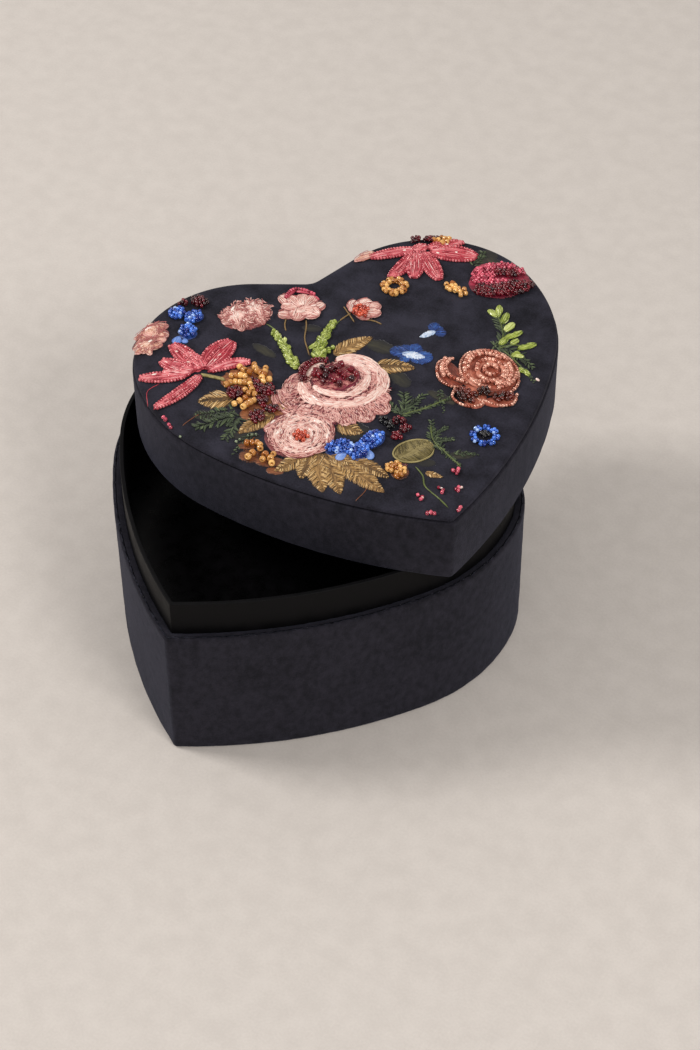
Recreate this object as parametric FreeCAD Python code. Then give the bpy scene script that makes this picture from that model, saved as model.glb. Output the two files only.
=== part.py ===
"""Heart-shaped, fabric-covered box with a loose lid and a wind-up musical movement.

Millimetres, +Z up. The origin lies on the ground under the middle of the heart's length, with the
heart's tip towards -Y. The lid stands askew on the neck. The movement lies under the tray floor,
and its winding key is reached from below, in the recess under the bottom board.
"""
import FreeCAD, Part
import math
import os
from FreeCAD import Vector

# ---- heart outline of the box and of the lid
HEART_WIDTH = 150.0
TIP_HEADING = 29.3          # degrees, slope of the sides where they leave the tip
SIDE_TURN = 28.2            # degrees turned along a long side
SHOULDER_RADIUS = 63.6
SHOULDER_TURN = 43.0
LOBE_RADIUS = 40.3
LOBE_TURN = 101.8
CLEFT_RADIUS = 6.0
TIP_RADIUS = 2.2

# ---- box base
WALL_HEIGHT = 55.5
FABRIC = 0.8                # outer suede with its glue
TURN_IN = 0.7               # the same fabric pressed flat where it is turned in
WALL_BOARD = 2.0
RIM_TURN_IN_DEPTH = 16.0
FOOT_TURN_IN_DEPTH = 10.0
BOTTOM_RECESS = 12.0
BOTTOM_BOARD = 2.0
PAPER = 0.2
BOTTOM_EDGE_GAP = 0.1
SHAFT_HOLE_RADIUS = 4.0

# ---- neck and tray
NECK_RISE = 13.2
NECK_BOARD = 1.2
NECK_PAPER = 0.15
RISER_THICKNESS = 3.0
FLOOR_BOARD = 2.0
FLOOR_EDGE_GAP = 0.1
FLOOR_CLEARANCE = 0.9       # free height over the tallest wheel of the movement

# ---- lid
LID_WALL_HEIGHT = 25.0
LID_BOARD = 2.0
LID_TOP_WRAP = 12.0         # width of fabric glued down on the deck
LID_TURN = 52.8             # degrees, how far the lid stands turned on the neck
LID_AT_X = 16.8
LID_AT_Y = 34.2
LID_REST_GAP = 0.1
PAD_BOARD = 1.5
PAD_INSET = 0.6
PAD_FABRIC = 0.8
WADDING = 1.1
WADDING_INSET = 3.0
PAD_TOP_FABRIC = 0.6

# ---- movement, seen from the winding arbor's axis
MOVEMENT_X = -12.0
MOVEMENT_Y = 8.0
BED_THICKNESS = 2.5
BED_RIGHT_MARGIN = 0.5      # bed beyond the governor bracket
BED_FRONT_MARGIN = 0.7      # bed beyond the comb's base
BED_BACK_MARGIN = 1.5       # bed beyond the spring housing
BED_CORNER = 3.0
SHAFT_CLEARANCE = 0.05
AXIAL_PLAY = 0.1

ARBOR_RADIUS = 2.0
ARBOR_CORE_RADIUS = 3.2
HOUSING_RADIUS = 12.0
HOUSING_HEIGHT = 7.5
HOUSING_WALL = 0.8
LUG_RADIUS = 1.8
LUG_ANGLES = (60.0, 180.0, 300.0)
LUG_OUTWARD = 1.2           # lug centre beyond the housing wall
RIVET_RADIUS = 0.8
RIVET_HEAD_RADIUS = 1.1
RIVET_HEAD = 0.6
SPRING_STRIP = 0.35
SPRING_STEP = 0.6           # growth of radius with each half turn
SPRING_GAP = 0.3
SPRING_END_GAP = 0.4

DRIVE_TEETH = 42
DRIVE_MODULE = 0.5
DRIVE_DISC = 1.45
DRIVE_FACE = 1.6
DRIVE_RIM = 0.2             # flat rim outside the crown teeth
DRIVE_HUB_RADIUS = 3.0
DRIVE_HUB_RISE = 1.25
PINION_TEETH = 12
PINION_FACE = 1.4
COARSE_ADDENDUM = 0.35
COARSE_DEDENDUM = 0.55
COARSE_TIP = 0.30
COARSE_ROOT = 0.60
CLUTCH_WIRE = 0.4
CLUTCH_PITCH = 0.5
CLUTCH_TURNS = 1.5
CLIP_RADIUS = 3.4
CLIP_THICKNESS = 0.6

KEY_WING_RADIUS = 4.5
KEY_WING_REACH = 5.5
KEY_WING_THICKNESS = 1.6
KEY_EYE_RADIUS = 1.7
KEY_HUB_RADIUS = 2.9
KEY_WEB_HEIGHT = 5.4
KEY_GROUND_GAP = 1.5
KEY_BOARD_GAP = 0.8

CYLINDER_RADIUS = 5.75
CYLINDER_TUBE = 0.85
CYLINDER_LENGTH = 17.8
CYLINDER_CAP = 1.0
CYLINDER_AXLE_RADIUS = 0.8
CYLINDER_END_GAP = 0.6
PIN_RADIUS = 0.18
PIN_HEIGHT = 0.4
PINS_PER_TRACK = 4
TRACKS = 18
TRACK_PITCH = 0.95
BRACKET_SHEET = 0.8
BRACKET_DRUM_GAP = 0.7      # left upright clear of the drive gear's rim
BRACKET_HALF_WIDTH = 4.0
BRACKET_HEAD_ROOM = 2.5

COMB_THICKNESS = 0.9
COMB_SLOT = 0.33
COMB_PIN_GAP = 0.15
COMB_BASS_LENGTH = 14.5
COMB_TREBLE_LENGTH = 10.5
COMB_BASE_DEPTH = 7.0
COMB_WEIGHTS = 7
WEIGHT_LENGTH = 2.2
WEIGHT_HEIGHT = 1.2
WEIGHT_WIDTH = 0.5
COMB_SCREW_SPACING = 10.0

FINE_MODULE = 0.4
FINE_ADDENDUM = 0.30
FINE_DEDENDUM = 0.45
FINE_TIP = 0.22
FINE_ROOT = 0.52
CYLINDER_GEAR_TEETH = 36
GOVERNOR_PINION_TEETH = 9
GEAR_WIDTH = 1.0
GOVERNOR_OFFSET_Y = 8.0
GOVERNOR_AXLE_RADIUS = 0.6
WORM_WHEEL_TEETH = 24
WORM_STARTS = 2
WORM_PITCH_RADIUS = 1.5
WORM_LENGTH = 5.0
FACETS_PER_TURN = 16
FLY_SPINDLE_RADIUS = 0.4
FLY_HUB_RADIUS = 0.9
FLY_REACH = 4.5
FLY_HEIGHT = 3.6
FLY_SHEET = 0.3
GOVERNOR_GAP = 0.8          # between wheels and plates along the governor arbor
GOVERNOR_PLATE_HEAD_ROOM = 2.5
GOVERNOR_FOOT_BACK = 3.5    # foot beyond the arbor
GOVERNOR_FOOT_FRONT = 3.2   # foot beyond the fly spindle
LUG_BACK = 2.1              # upper lug behind the spindle
LUG_LEFT = 1.3              # upper lug left of the spindle
LUG_GAP = 1.1               # upper lug over the worm
GOVERNOR_SCREWS = ((-0.2, 2.0), (-0.7, -2.8))   # from the spindle's X and the arbor's Y
GEAR_GAP = 0.4

SMALL_SCREW_RADIUS = 0.8
SMALL_HEAD_RADIUS = 1.5
SMALL_HEAD = 1.0
COMB_SCREW_RADIUS = 1.2
COMB_HEAD_RADIUS = 2.1
COMB_HEAD = 1.3
SCREW_DEPTH = 1.8
MOUNT_SCREW_RADIUS = 1.5
MOUNT_HEAD_RADIUS = 2.7
MOUNT_HEAD = 1.8
MOUNT_HOLE_CLEARANCE = 0.2
WASHER_RADIUS = 3.5
WASHER = 0.8
MOUNT_INSET = 3.4           # screw centre in from the bed's edges

# ---- heights and places that follow
BOARD_INSIDE = FABRIC + WALL_BOARD
NECK_OUTSIDE = BOARD_INSIDE + TURN_IN
NECK_INSIDE = NECK_OUTSIDE + NECK_BOARD + 2 * NECK_PAPER
NECK_TOP = WALL_HEIGHT + NECK_RISE
BED_Z = BOTTOM_RECESS + BOTTOM_BOARD
LID_Z = NECK_TOP + LID_REST_GAP

DRIVE_RADIUS = DRIVE_TEETH * DRIVE_MODULE / 2
HOUSING_TOP = BED_THICKNESS + HOUSING_HEIGHT
DRIVE_DISC_BOTTOM = HOUSING_TOP + AXIAL_PLAY
DRIVE_PITCH_PLANE = DRIVE_DISC_BOTTOM + DRIVE_DISC + COARSE_DEDENDUM
PINION_PITCH_RADIUS = PINION_TEETH * DRIVE_MODULE / 2
AXIS_Z = DRIVE_PITCH_PLANE + PINION_PITCH_RADIUS
DRIVE_OUTER = DRIVE_RADIUS + DRIVE_FACE / 2 + DRIVE_RIM

LEFT_UPRIGHT = max(DRIVE_OUTER, HOUSING_RADIUS) + BRACKET_DRUM_GAP
CYLINDER_LEFT = LEFT_UPRIGHT + BRACKET_SHEET + CYLINDER_END_GAP
CYLINDER_RIGHT = CYLINDER_LEFT + CYLINDER_LENGTH
RIGHT_UPRIGHT = CYLINDER_RIGHT + CYLINDER_END_GAP
GEAR_X = RIGHT_UPRIGHT + BRACKET_SHEET + GEAR_GAP
GEAR_RADIUS = CYLINDER_GEAR_TEETH * FINE_MODULE / 2
GOVERNOR_PINION_RADIUS = GOVERNOR_PINION_TEETH * FINE_MODULE / 2
GOVERNOR_DISTANCE = GEAR_RADIUS + GOVERNOR_PINION_RADIUS
GOVERNOR_Y = -GOVERNOR_OFFSET_Y
GOVERNOR_Z = AXIS_Z - math.sqrt(GOVERNOR_DISTANCE ** 2 - GOVERNOR_OFFSET_Y ** 2)
WORM_WHEEL_RADIUS = WORM_WHEEL_TEETH * FINE_MODULE / 2
WORM_WHEEL_X = GEAR_X + GEAR_WIDTH + GOVERNOR_GAP
WORM_X = WORM_WHEEL_X + GEAR_WIDTH / 2
WORM_Y = GOVERNOR_Y - WORM_WHEEL_RADIUS - WORM_PITCH_RADIUS
WORM_ROOT = WORM_PITCH_RADIUS - FINE_DEDENDUM
WORM_TIP = WORM_PITCH_RADIUS + FINE_ADDENDUM
GOVERNOR_PLATE_X = WORM_X + WORM_TIP + GOVERNOR_GAP / 2
LUG_PLATE_Z = GOVERNOR_Z + WORM_LENGTH / 2 + LUG_GAP
FLY_Z = GOVERNOR_Z + WORM_WHEEL_RADIUS + FINE_ADDENDUM + AXIAL_PLAY * 2

PIN_CIRCLE = CYLINDER_RADIUS + PIN_HEIGHT
COMB_WIDTH = TRACKS * TRACK_PITCH
COMB_LEFT = (CYLINDER_LEFT + CYLINDER_RIGHT - COMB_WIDTH) / 2
COMB_TIP_Y = -(PIN_CIRCLE + COMB_PIN_GAP)
COMB_BASE_Y = COMB_TIP_Y - COMB_BASS_LENGTH
COMB_BACK_Y = COMB_BASE_Y - COMB_BASE_DEPTH
COMB_Z = AXIS_Z - COMB_THICKNESS / 2

TALLEST = max(AXIS_Z + GEAR_RADIUS + FINE_ADDENDUM, FLY_Z + FLY_HEIGHT)
FLOOR_Z = BED_Z + TALLEST + FLOOR_CLEARANCE
FLOOR_TOP = FLOOR_Z + FLOOR_BOARD + PAPER
BED_LEFT = -(HOUSING_RADIUS + LUG_OUTWARD + LUG_RADIUS)
BED_RIGHT = GOVERNOR_PLATE_X + BRACKET_SHEET + BED_RIGHT_MARGIN
BED_FRONT = COMB_BACK_Y - BED_FRONT_MARGIN
BED_BACK = HOUSING_RADIUS + BED_BACK_MARGIN
UP = Vector(0, 0, 1)
ALONG_X = Vector(1, 0, 0)
MOUNT_PLACES = (
    (BED_LEFT + MOUNT_INSET, BED_FRONT + MOUNT_INSET),
    (BED_LEFT + MOUNT_INSET, BED_BACK - MOUNT_INSET),
    (BED_RIGHT - MOUNT_INSET, BED_BACK - MOUNT_INSET),
)


# ---- outline
def heading_point(centre, radius, heading):
    """Point of an arc where the path runs at this heading."""
    x = centre[0] + radius * math.sin(heading)
    y = centre[1] - radius * math.cos(heading)
    return (x, y)


def half_outline():
    """Arcs of the right half from tip to cleft: centre, radius, first heading, last heading.

    From the tip a long side arc, a shoulder arc and a lobe arc turn left. A straight run leads from
    the lobe into the cleft, whose arc turns right and has a negative radius. The side's radius
    follows from the width, and the straight run closes the shape on the middle line.
    """
    h0 = math.radians(TIP_HEADING)
    h1 = h0 + math.radians(SIDE_TURN)
    h2 = h1 + math.radians(SHOULDER_TURN)
    h3 = h2 + math.radians(LOBE_TURN)
    reach = HEART_WIDTH / 2 - SHOULDER_RADIUS * (1 - math.sin(h1))
    side = reach / (math.sin(h1) - math.sin(h0))
    side_centre = heading_point((0, 0), -side, h0)
    shoulder_centre = heading_point(side_centre, side - SHOULDER_RADIUS, h1)
    lobe_centre = heading_point(shoulder_centre, SHOULDER_RADIUS - LOBE_RADIUS, h2)
    lobe_end = heading_point(lobe_centre, LOBE_RADIUS, h3)
    cleft_start_x = -CLEFT_RADIUS * math.sin(h3)
    run = (cleft_start_x - lobe_end[0]) / math.cos(h3)
    cleft_start_y = lobe_end[1] + run * math.sin(h3)
    cleft_centre = heading_point((cleft_start_x, cleft_start_y), CLEFT_RADIUS, h3)
    return [
        (side_centre, side, h0, h1),
        (shoulder_centre, SHOULDER_RADIUS, h1, h2),
        (lobe_centre, LOBE_RADIUS, h2, h3),
        (cleft_centre, -CLEFT_RADIUS, h3, math.pi),
    ]


def heart_length():
    """Length from the sharp tip to the top of the lobes."""
    centre, radius = half_outline()[2][:2]
    return centre[1] + radius


def heart_wire(inset, z):
    """Closed outline, moved inwards by inset, with its tip rounded as far as the radius lasts."""
    arcs = half_outline()
    middle = heart_length() / 2
    centre, side, h0, h1 = arcs[0]
    side_inset = side - inset
    tip_radius = TIP_RADIUS - inset
    rounded = tip_radius > 0
    if rounded:
        tip_y = centre[1] - math.sqrt((side - TIP_RADIUS) ** 2 - centre[0] ** 2)
        h0 = math.asin(-centre[0] / (side - TIP_RADIUS))
    else:
        h0 = math.asin(-centre[0] / side_inset)
    right = []
    for number, (centre, radius, start, end) in enumerate(arcs[:3]):
        start = h0 if number == 0 else start
        headings = (start, (start + end) / 2, end)
        right.append([heading_point(centre, radius - inset, h) for h in headings])
    centre, radius, start, end = arcs[3]
    cleft = [heading_point(centre, radius - inset, h) for h in (start, end)]
    right.append([right[-1][-1], cleft[0]])

    def at(point, side_sign=1):
        return Vector(side_sign * point[0], point[1] - middle, z)

    def edge(points, side_sign):
        places = [at(point, side_sign) for point in points]
        if len(places) == 2:
            return Part.LineSegment(*places).toShape()
        return Part.Arc(*places).toShape()

    edges = [edge(points, 1) for points in right]
    edges.append(Part.Arc(at(cleft[0]), at(cleft[1]), at(cleft[0], -1)).toShape())
    edges += [edge(points[::-1], -1) for points in right[::-1]]
    if rounded:
        bottom = (0, tip_y - tip_radius)
        edges.append(Part.Arc(at(right[0][0], -1), at(bottom), at(right[0][0])).toShape())
    return Part.Wire(edges)


def heart_slab(inset, low, high):
    """Solid heart between two heights."""
    return Part.Face(heart_wire(inset, low)).extrude(UP * (high - low))


def heart_ring(outer, inner, low, high):
    """Heart-shaped wall between two insets."""
    return heart_slab(outer, low, high).cut(heart_slab(inner, low - 1, high + 1))


# ---- plain solids
def box(x0, x1, y0, y1, z0, z1):
    return Part.makeBox(x1 - x0, y1 - y0, z1 - z0, Vector(x0, y0, z0))


def rod(radius, x, y, low, high):
    """Upright round bar."""
    return Part.makeCylinder(radius, high - low, Vector(x, y, low), UP)


def axle(radius, y, z, left, right):
    """Round bar along X."""
    return Part.makeCylinder(radius, right - left, Vector(left, y, z), ALONG_X)


def one_solid(shape):
    """The single solid of a boolean result, with its split faces joined."""
    solids = shape.removeSplitter().Solids
    if len(solids) != 1:
        raise ValueError("expected one solid, found %d" % len(solids))
    return solids[0]


def joined(first, *others):
    return one_solid(first.multiFuse(list(others)))


def screw(radius, head_radius, head, x, y, seat, depth):
    """Cheese-head screw: its head stands on seat, its shank reaches depth below it."""
    return joined(rod(radius, x, y, seat - depth, seat), rod(head_radius, x, y, seat, seat + head))


def wheel_outline(teeth, pitch_radius, addendum, dedendum, tip_width, root_width, phase):
    """Toothed outline in the XY plane: straight-sided teeth, thinned to leave backlash."""
    root = pitch_radius - dedendum
    tip = pitch_radius + addendum
    corners = []
    for number in range(teeth):
        middle = phase + 2 * math.pi * number / teeth
        for radius, offset in ((root, -root_width), (tip, -tip_width), (tip, tip_width), (root, root_width)):
            angle = middle + math.asin(offset / 2 / radius)
            corners.append(Vector(radius * math.cos(angle), radius * math.sin(angle), 0))
    return Part.Face(Part.makePolygon(corners + corners[:1]))


def fine_wheel(teeth, phase, bore, width):
    """Toothed wheel of the governor train, lying in the XY plane."""
    radius = teeth * FINE_MODULE / 2
    face = wheel_outline(teeth, radius, FINE_ADDENDUM, FINE_DEDENDUM, FINE_TIP, FINE_ROOT, phase)
    return face.extrude(UP * width).cut(rod(bore, 0, 0, -1, width + 1))


def stood_along_x(shape, x, y, z):
    """Turn a wheel from the XY plane onto an axle along X: its X becomes Y and its Y becomes Z."""
    turned = shape.copy()
    turned.rotate(Vector(0, 0, 0), Vector(1, 1, 1), 120)
    turned.translate(Vector(x, y, z))
    return turned


def facet(*corners):
    return Part.Face(Part.makePolygon(list(corners) + [corners[0]]))


def helix_strip(section, lead, turns, phase, low):
    """Right-handed helical strip of flat facets round Z, from four (radius, height) corners."""
    steps = round(FACETS_PER_TURN * turns)
    rings = []
    for step in range(steps + 1):
        share = turns * step / steps
        angle = phase + 2 * math.pi * share
        rise = low + lead * share
        rings.append([Vector(r * math.cos(angle), r * math.sin(angle), rise + z) for r, z in section])
    faces = [facet(*rings[0]), facet(*rings[-1])]
    for near, far in zip(rings, rings[1:]):
        for corner in range(4):
            following = (corner + 1) % 4
            faces.append(facet(near[corner], far[corner], far[following]))
            faces.append(facet(near[corner], far[following], near[following]))
    solid = Part.Solid(Part.Shell(faces))
    if solid.Volume < 0:
        solid.reverse()
    return solid


# ---- base
def base_wall_fabric():
    """Suede round the wall, over the rim and under the foot, turned in at both edges."""
    cover = heart_ring(0, NECK_OUTSIDE, 0, WALL_HEIGHT)
    board_space = heart_ring(FABRIC, BOARD_INSIDE, FABRIC, WALL_HEIGHT - FABRIC)
    open_low = FOOT_TURN_IN_DEPTH
    open_high = WALL_HEIGHT - RIM_TURN_IN_DEPTH
    middle_of_board = FABRIC + WALL_BOARD / 2
    window = heart_ring(middle_of_board, NECK_OUTSIDE + 1, open_low, open_high)
    return one_solid(cover.cut(board_space).cut(window))


def base_wall_board():
    return heart_ring(FABRIC, BOARD_INSIDE, FABRIC, WALL_HEIGHT - FABRIC)


def bottom_holes(low, high):
    """Holes through the bottom for the winding arbor and the mounting screws."""
    holes = [rod(SHAFT_HOLE_RADIUS, MOVEMENT_X, MOVEMENT_Y, low, high)]
    for x, y in MOUNT_PLACES:
        radius = MOUNT_SCREW_RADIUS + MOUNT_HOLE_CLEARANCE
        holes.append(rod(radius, MOVEMENT_X + x, MOVEMENT_Y + y, low, high))
    return Part.Compound(holes)


def bottom_board():
    plate = heart_slab(BOARD_INSIDE + BOTTOM_EDGE_GAP, BOTTOM_RECESS, BED_Z)
    return one_solid(plate.cut(bottom_holes(BOTTOM_RECESS - 1, BED_Z + 1)))


def bottom_paper():
    plate = heart_slab(BOARD_INSIDE + BOTTOM_EDGE_GAP, BOTTOM_RECESS - PAPER, BOTTOM_RECESS)
    return one_solid(plate.cut(bottom_holes(BOTTOM_RECESS - 1, BOTTOM_RECESS + 1)))


# ---- neck and tray
def neck_board():
    outer = NECK_OUTSIDE + NECK_PAPER
    return heart_ring(outer, outer + NECK_BOARD, BED_Z, NECK_TOP - NECK_PAPER)


def neck_paper():
    """Satin paper over the neck's outer side, its top edge and its inner side."""
    cover = heart_ring(NECK_OUTSIDE, NECK_INSIDE, BED_Z, NECK_TOP)
    outer = NECK_OUTSIDE + NECK_PAPER
    board_space = heart_ring(outer, outer + NECK_BOARD, BED_Z - 1, NECK_TOP - NECK_PAPER)
    return one_solid(cover.cut(board_space))


def floor_riser():
    outer = NECK_INSIDE + FLOOR_EDGE_GAP
    return heart_ring(outer, outer + RISER_THICKNESS, BED_Z, FLOOR_Z)


def floor_board():
    return heart_slab(NECK_INSIDE + FLOOR_EDGE_GAP, FLOOR_Z, FLOOR_Z + FLOOR_BOARD)


def floor_paper():
    return heart_slab(NECK_INSIDE + FLOOR_EDGE_GAP, FLOOR_Z + FLOOR_BOARD, FLOOR_TOP)


# ---- lid, with its lower edge at height 0
def lid_rim_board():
    return heart_ring(FABRIC, FABRIC + LID_BOARD, FABRIC, LID_WALL_HEIGHT - FABRIC)


def lid_rim_fabric():
    """Suede round the lid's wall, under its lower edge and over the edge of the deck."""
    inside = FABRIC + LID_BOARD
    outer = heart_ring(0, inside, 0, LID_WALL_HEIGHT)
    wrap = heart_ring(inside, LID_TOP_WRAP, LID_WALL_HEIGHT - FABRIC, LID_WALL_HEIGHT)
    return one_solid(outer.cut(lid_rim_board()).fuse(wrap))


def lid_deck_board():
    top = LID_WALL_HEIGHT - FABRIC
    return heart_slab(FABRIC + LID_BOARD, top - LID_BOARD, top)


def lid_lining():
    """Black paper inside the lid, on its wall and its ceiling."""
    inside = FABRIC + LID_BOARD
    ceiling = LID_WALL_HEIGHT - FABRIC - LID_BOARD
    return one_solid(heart_slab(inside, 0, ceiling).cut(heart_slab(inside + PAPER, -1, ceiling - PAPER)))


def lid_pad_board():
    return heart_slab(PAD_INSET + PAD_FABRIC, LID_WALL_HEIGHT, LID_WALL_HEIGHT + PAD_BOARD)


def lid_wadding():
    low = LID_WALL_HEIGHT + PAD_BOARD
    return heart_slab(PAD_INSET + WADDING_INSET, low, low + WADDING)


def lid_top_fabric():
    """Embroidered velvet drawn over the wadding and round the edge of the pad board."""
    low = LID_WALL_HEIGHT
    high = low + PAD_BOARD + WADDING + PAD_TOP_FABRIC
    cover = heart_slab(PAD_INSET, low, high)
    return one_solid(cover.cut(lid_pad_board()).cut(lid_wadding()))


# ---- movement: frame
def bedplate():
    """Cast bed with the block that carries the comb."""
    plate = box(BED_LEFT, BED_RIGHT, BED_FRONT, BED_BACK, 0, BED_THICKNESS)
    upright_edges = [e for e in plate.Edges if abs(e.tangentAt(e.FirstParameter).z) > 0.5]
    plate = plate.makeFillet(BED_CORNER, upright_edges)
    block = box(COMB_LEFT, COMB_LEFT + COMB_WIDTH, COMB_BACK_Y, COMB_BASE_Y, BED_THICKNESS / 2, COMB_Z)
    holes = [rod(ARBOR_RADIUS + SHAFT_CLEARANCE, 0, 0, -1, BED_THICKNESS + 1)]
    holes += [rod(MOUNT_SCREW_RADIUS, x, y, -1, BED_THICKNESS + 1) for x, y in MOUNT_PLACES]
    holes += [rod(RIVET_RADIUS, x, y, 0, BED_THICKNESS + 1) for x, y in lug_places()]
    comb_hole_end = COMB_Z - comb_screw_depth()
    holes += [rod(COMB_SCREW_RADIUS, x, y, comb_hole_end, COMB_Z + 1) for x, y in comb_screw_places()]
    small = bracket_screw_places() + governor_screw_places()
    depth = BED_THICKNESS + BRACKET_SHEET - SCREW_DEPTH
    holes += [rod(SMALL_SCREW_RADIUS, x, y, depth, BED_THICKNESS + 1) for x, y in small]
    return one_solid(joined(plate, block).cut(Part.Compound(holes)))


def mounting_screws():
    """Three screws from below, through washers and the bottom board into the bed."""
    seat = -(BOTTOM_BOARD + PAPER + WASHER)
    screws = []
    for x, y in MOUNT_PLACES:
        head = rod(MOUNT_HEAD_RADIUS, x, y, seat - MOUNT_HEAD, seat)
        screws.append(joined(head, rod(MOUNT_SCREW_RADIUS, x, y, seat, BED_THICKNESS)))
    return Part.Compound(screws)


def mounting_washers():
    top = -(BOTTOM_BOARD + PAPER)
    washers = []
    for x, y in MOUNT_PLACES:
        hole = rod(MOUNT_SCREW_RADIUS + MOUNT_HOLE_CLEARANCE, x, y, top - WASHER - 1, top + 1)
        washers.append(rod(WASHER_RADIUS, x, y, top - WASHER, top).cut(hole))
    return Part.Compound(washers)


def lug_places():
    reach = HOUSING_RADIUS + LUG_OUTWARD
    return [(reach * math.cos(math.radians(a)), reach * math.sin(math.radians(a))) for a in LUG_ANGLES]


def spring_housing():
    """Pressed cup over the mainspring, with three lugs riveted to the bed."""
    low = BED_THICKNESS
    cup = rod(HOUSING_RADIUS, 0, 0, low, HOUSING_TOP)
    lugs = []
    for x, y in lug_places():
        foot = rod(LUG_RADIUS, x, y, low, low + HOUSING_WALL)
        bridge = Part.makeBox(LUG_OUTWARD + HOUSING_WALL, 2 * LUG_RADIUS, HOUSING_WALL)
        bridge.translate(Vector(HOUSING_RADIUS - HOUSING_WALL, -LUG_RADIUS, low))
        bridge.rotate(Vector(0, 0, 0), UP, math.degrees(math.atan2(y, x)))
        lugs += [foot, bridge]
    body = joined(cup, *lugs)
    inside = rod(HOUSING_RADIUS - HOUSING_WALL, 0, 0, low - 1, HOUSING_TOP - HOUSING_WALL)
    holes = [rod(RIVET_RADIUS, x, y, low - 1, low + 2) for x, y in lug_places()]
    bore = rod(ARBOR_RADIUS + SHAFT_CLEARANCE, 0, 0, low, HOUSING_TOP + 1)
    return one_solid(body.cut(Part.Compound([inside, bore] + holes)))


def housing_rivets():
    seat = BED_THICKNESS + HOUSING_WALL
    rivets = [screw(RIVET_RADIUS, RIVET_HEAD_RADIUS, RIVET_HEAD, x, y, seat, seat) for x, y in lug_places()]
    return Part.Compound(rivets)


def mainspring():
    """Flat steel strip in a spiral of half circles, from the arbor's core to the housing wall."""
    first = ARBOR_CORE_RADIUS + SPRING_GAP + SPRING_STEP
    room = HOUSING_RADIUS - HOUSING_WALL - SPRING_GAP - SPRING_STRIP - SPRING_STEP - first
    halves = int(room / SPRING_STEP)
    low = BED_THICKNESS + SPRING_END_GAP
    high = HOUSING_TOP - HOUSING_WALL - SPRING_END_GAP
    sides = []
    ends = []
    for extra in (0, SPRING_STRIP):
        edges = []
        for number in range(halves):
            centre = SPRING_STEP * (number % 2)
            radius = first + SPRING_STEP * number + extra
            sign = 1 - 2 * (number % 2)
            start = Vector(centre + sign * radius, 0, low)
            middle = Vector(centre, sign * radius, low)
            end = Vector(centre - sign * radius, 0, low)
            edges.append(Part.Arc(start, middle, end).toShape())
            if number == 0:
                ends.append(start)
        ends.append(end)
        sides.append(edges)
    caps = [Part.LineSegment(ends[0], ends[2]).toShape(), Part.LineSegment(ends[1], ends[3]).toShape()]
    wire = Part.Wire(sides[0] + [caps[1]] + sides[1][::-1] + [caps[0]])
    return Part.Face(wire).extrude(UP * (high - low))


def bracket_screw_places():
    middle = (CYLINDER_LEFT + CYLINDER_RIGHT) / 2
    return [(middle - COMB_SCREW_SPACING / 2, 0), (middle + COMB_SCREW_SPACING / 2, 0)]


def cylinder_bracket():
    """Bent strip under the cylinder; its right upright also bears the governor arbor."""
    low = BED_THICKNESS
    high = AXIS_Z + BRACKET_HEAD_ROOM
    half = BRACKET_HALF_WIDTH
    right_end = RIGHT_UPRIGHT + BRACKET_SHEET
    strip = box(LEFT_UPRIGHT, right_end, -half, half, low, low + BRACKET_SHEET)
    left = box(LEFT_UPRIGHT, LEFT_UPRIGHT + BRACKET_SHEET, -half, half, low, high)
    right = box(RIGHT_UPRIGHT, right_end, GOVERNOR_Y - BRACKET_HEAD_ROOM, half, low, high)
    cylinder_bore = CYLINDER_AXLE_RADIUS + SHAFT_CLEARANCE
    governor_bore = GOVERNOR_AXLE_RADIUS + SHAFT_CLEARANCE
    bores = [
        axle(cylinder_bore, 0, AXIS_Z, LEFT_UPRIGHT - 1, right_end + 1),
        axle(governor_bore, GOVERNOR_Y, GOVERNOR_Z, RIGHT_UPRIGHT - 1, right_end + 1),
    ]
    for x, y in bracket_screw_places():
        bores.append(rod(SMALL_SCREW_RADIUS, x, y, low - 1, low + 2))
    return one_solid(joined(strip, left, right).cut(Part.Compound(bores)))


def small_screws(places):
    seat = BED_THICKNESS + BRACKET_SHEET
    screws = []
    for x, y in places:
        screws.append(screw(SMALL_SCREW_RADIUS, SMALL_HEAD_RADIUS, SMALL_HEAD, x, y, seat, SCREW_DEPTH))
    return Part.Compound(screws)


def bracket_screws():
    return small_screws(bracket_screw_places())


# ---- movement: drive
def drive_gear():
    """Crown wheel that turns on the housing and drives the cylinder's pinion."""
    top = DRIVE_DISC_BOTTOM + DRIVE_DISC
    disc = rod(DRIVE_OUTER, 0, 0, DRIVE_DISC_BOTTOM, top)
    hub = rod(DRIVE_HUB_RADIUS, 0, 0, top, top + DRIVE_HUB_RISE)
    low = -COARSE_DEDENDUM / 2 - COARSE_DEDENDUM
    half_root = COARSE_ROOT / 2
    half_tip = COARSE_TIP / 2
    inner = DRIVE_RADIUS - DRIVE_FACE / 2
    section = [(-half_root, low), (half_root, low), (half_root, -COARSE_DEDENDUM)]
    section += [(half_tip, COARSE_ADDENDUM), (-half_tip, COARSE_ADDENDUM), (-half_root, -COARSE_DEDENDUM)]
    corners = [Vector(inner, y, DRIVE_PITCH_PLANE + z) for y, z in section]
    tooth = facet(*corners).extrude(ALONG_X * DRIVE_FACE)
    teeth = []
    for number in range(DRIVE_TEETH):
        copy = tooth.copy()
        copy.rotate(Vector(0, 0, 0), UP, 360 * (number + 0.5) / DRIVE_TEETH)
        teeth.append(copy)
    bore = rod(ARBOR_RADIUS + SHAFT_CLEARANCE, 0, 0, 0, top + DRIVE_HUB_RISE + 1)
    return one_solid(joined(disc, hub, *teeth).cut(bore))


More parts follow.
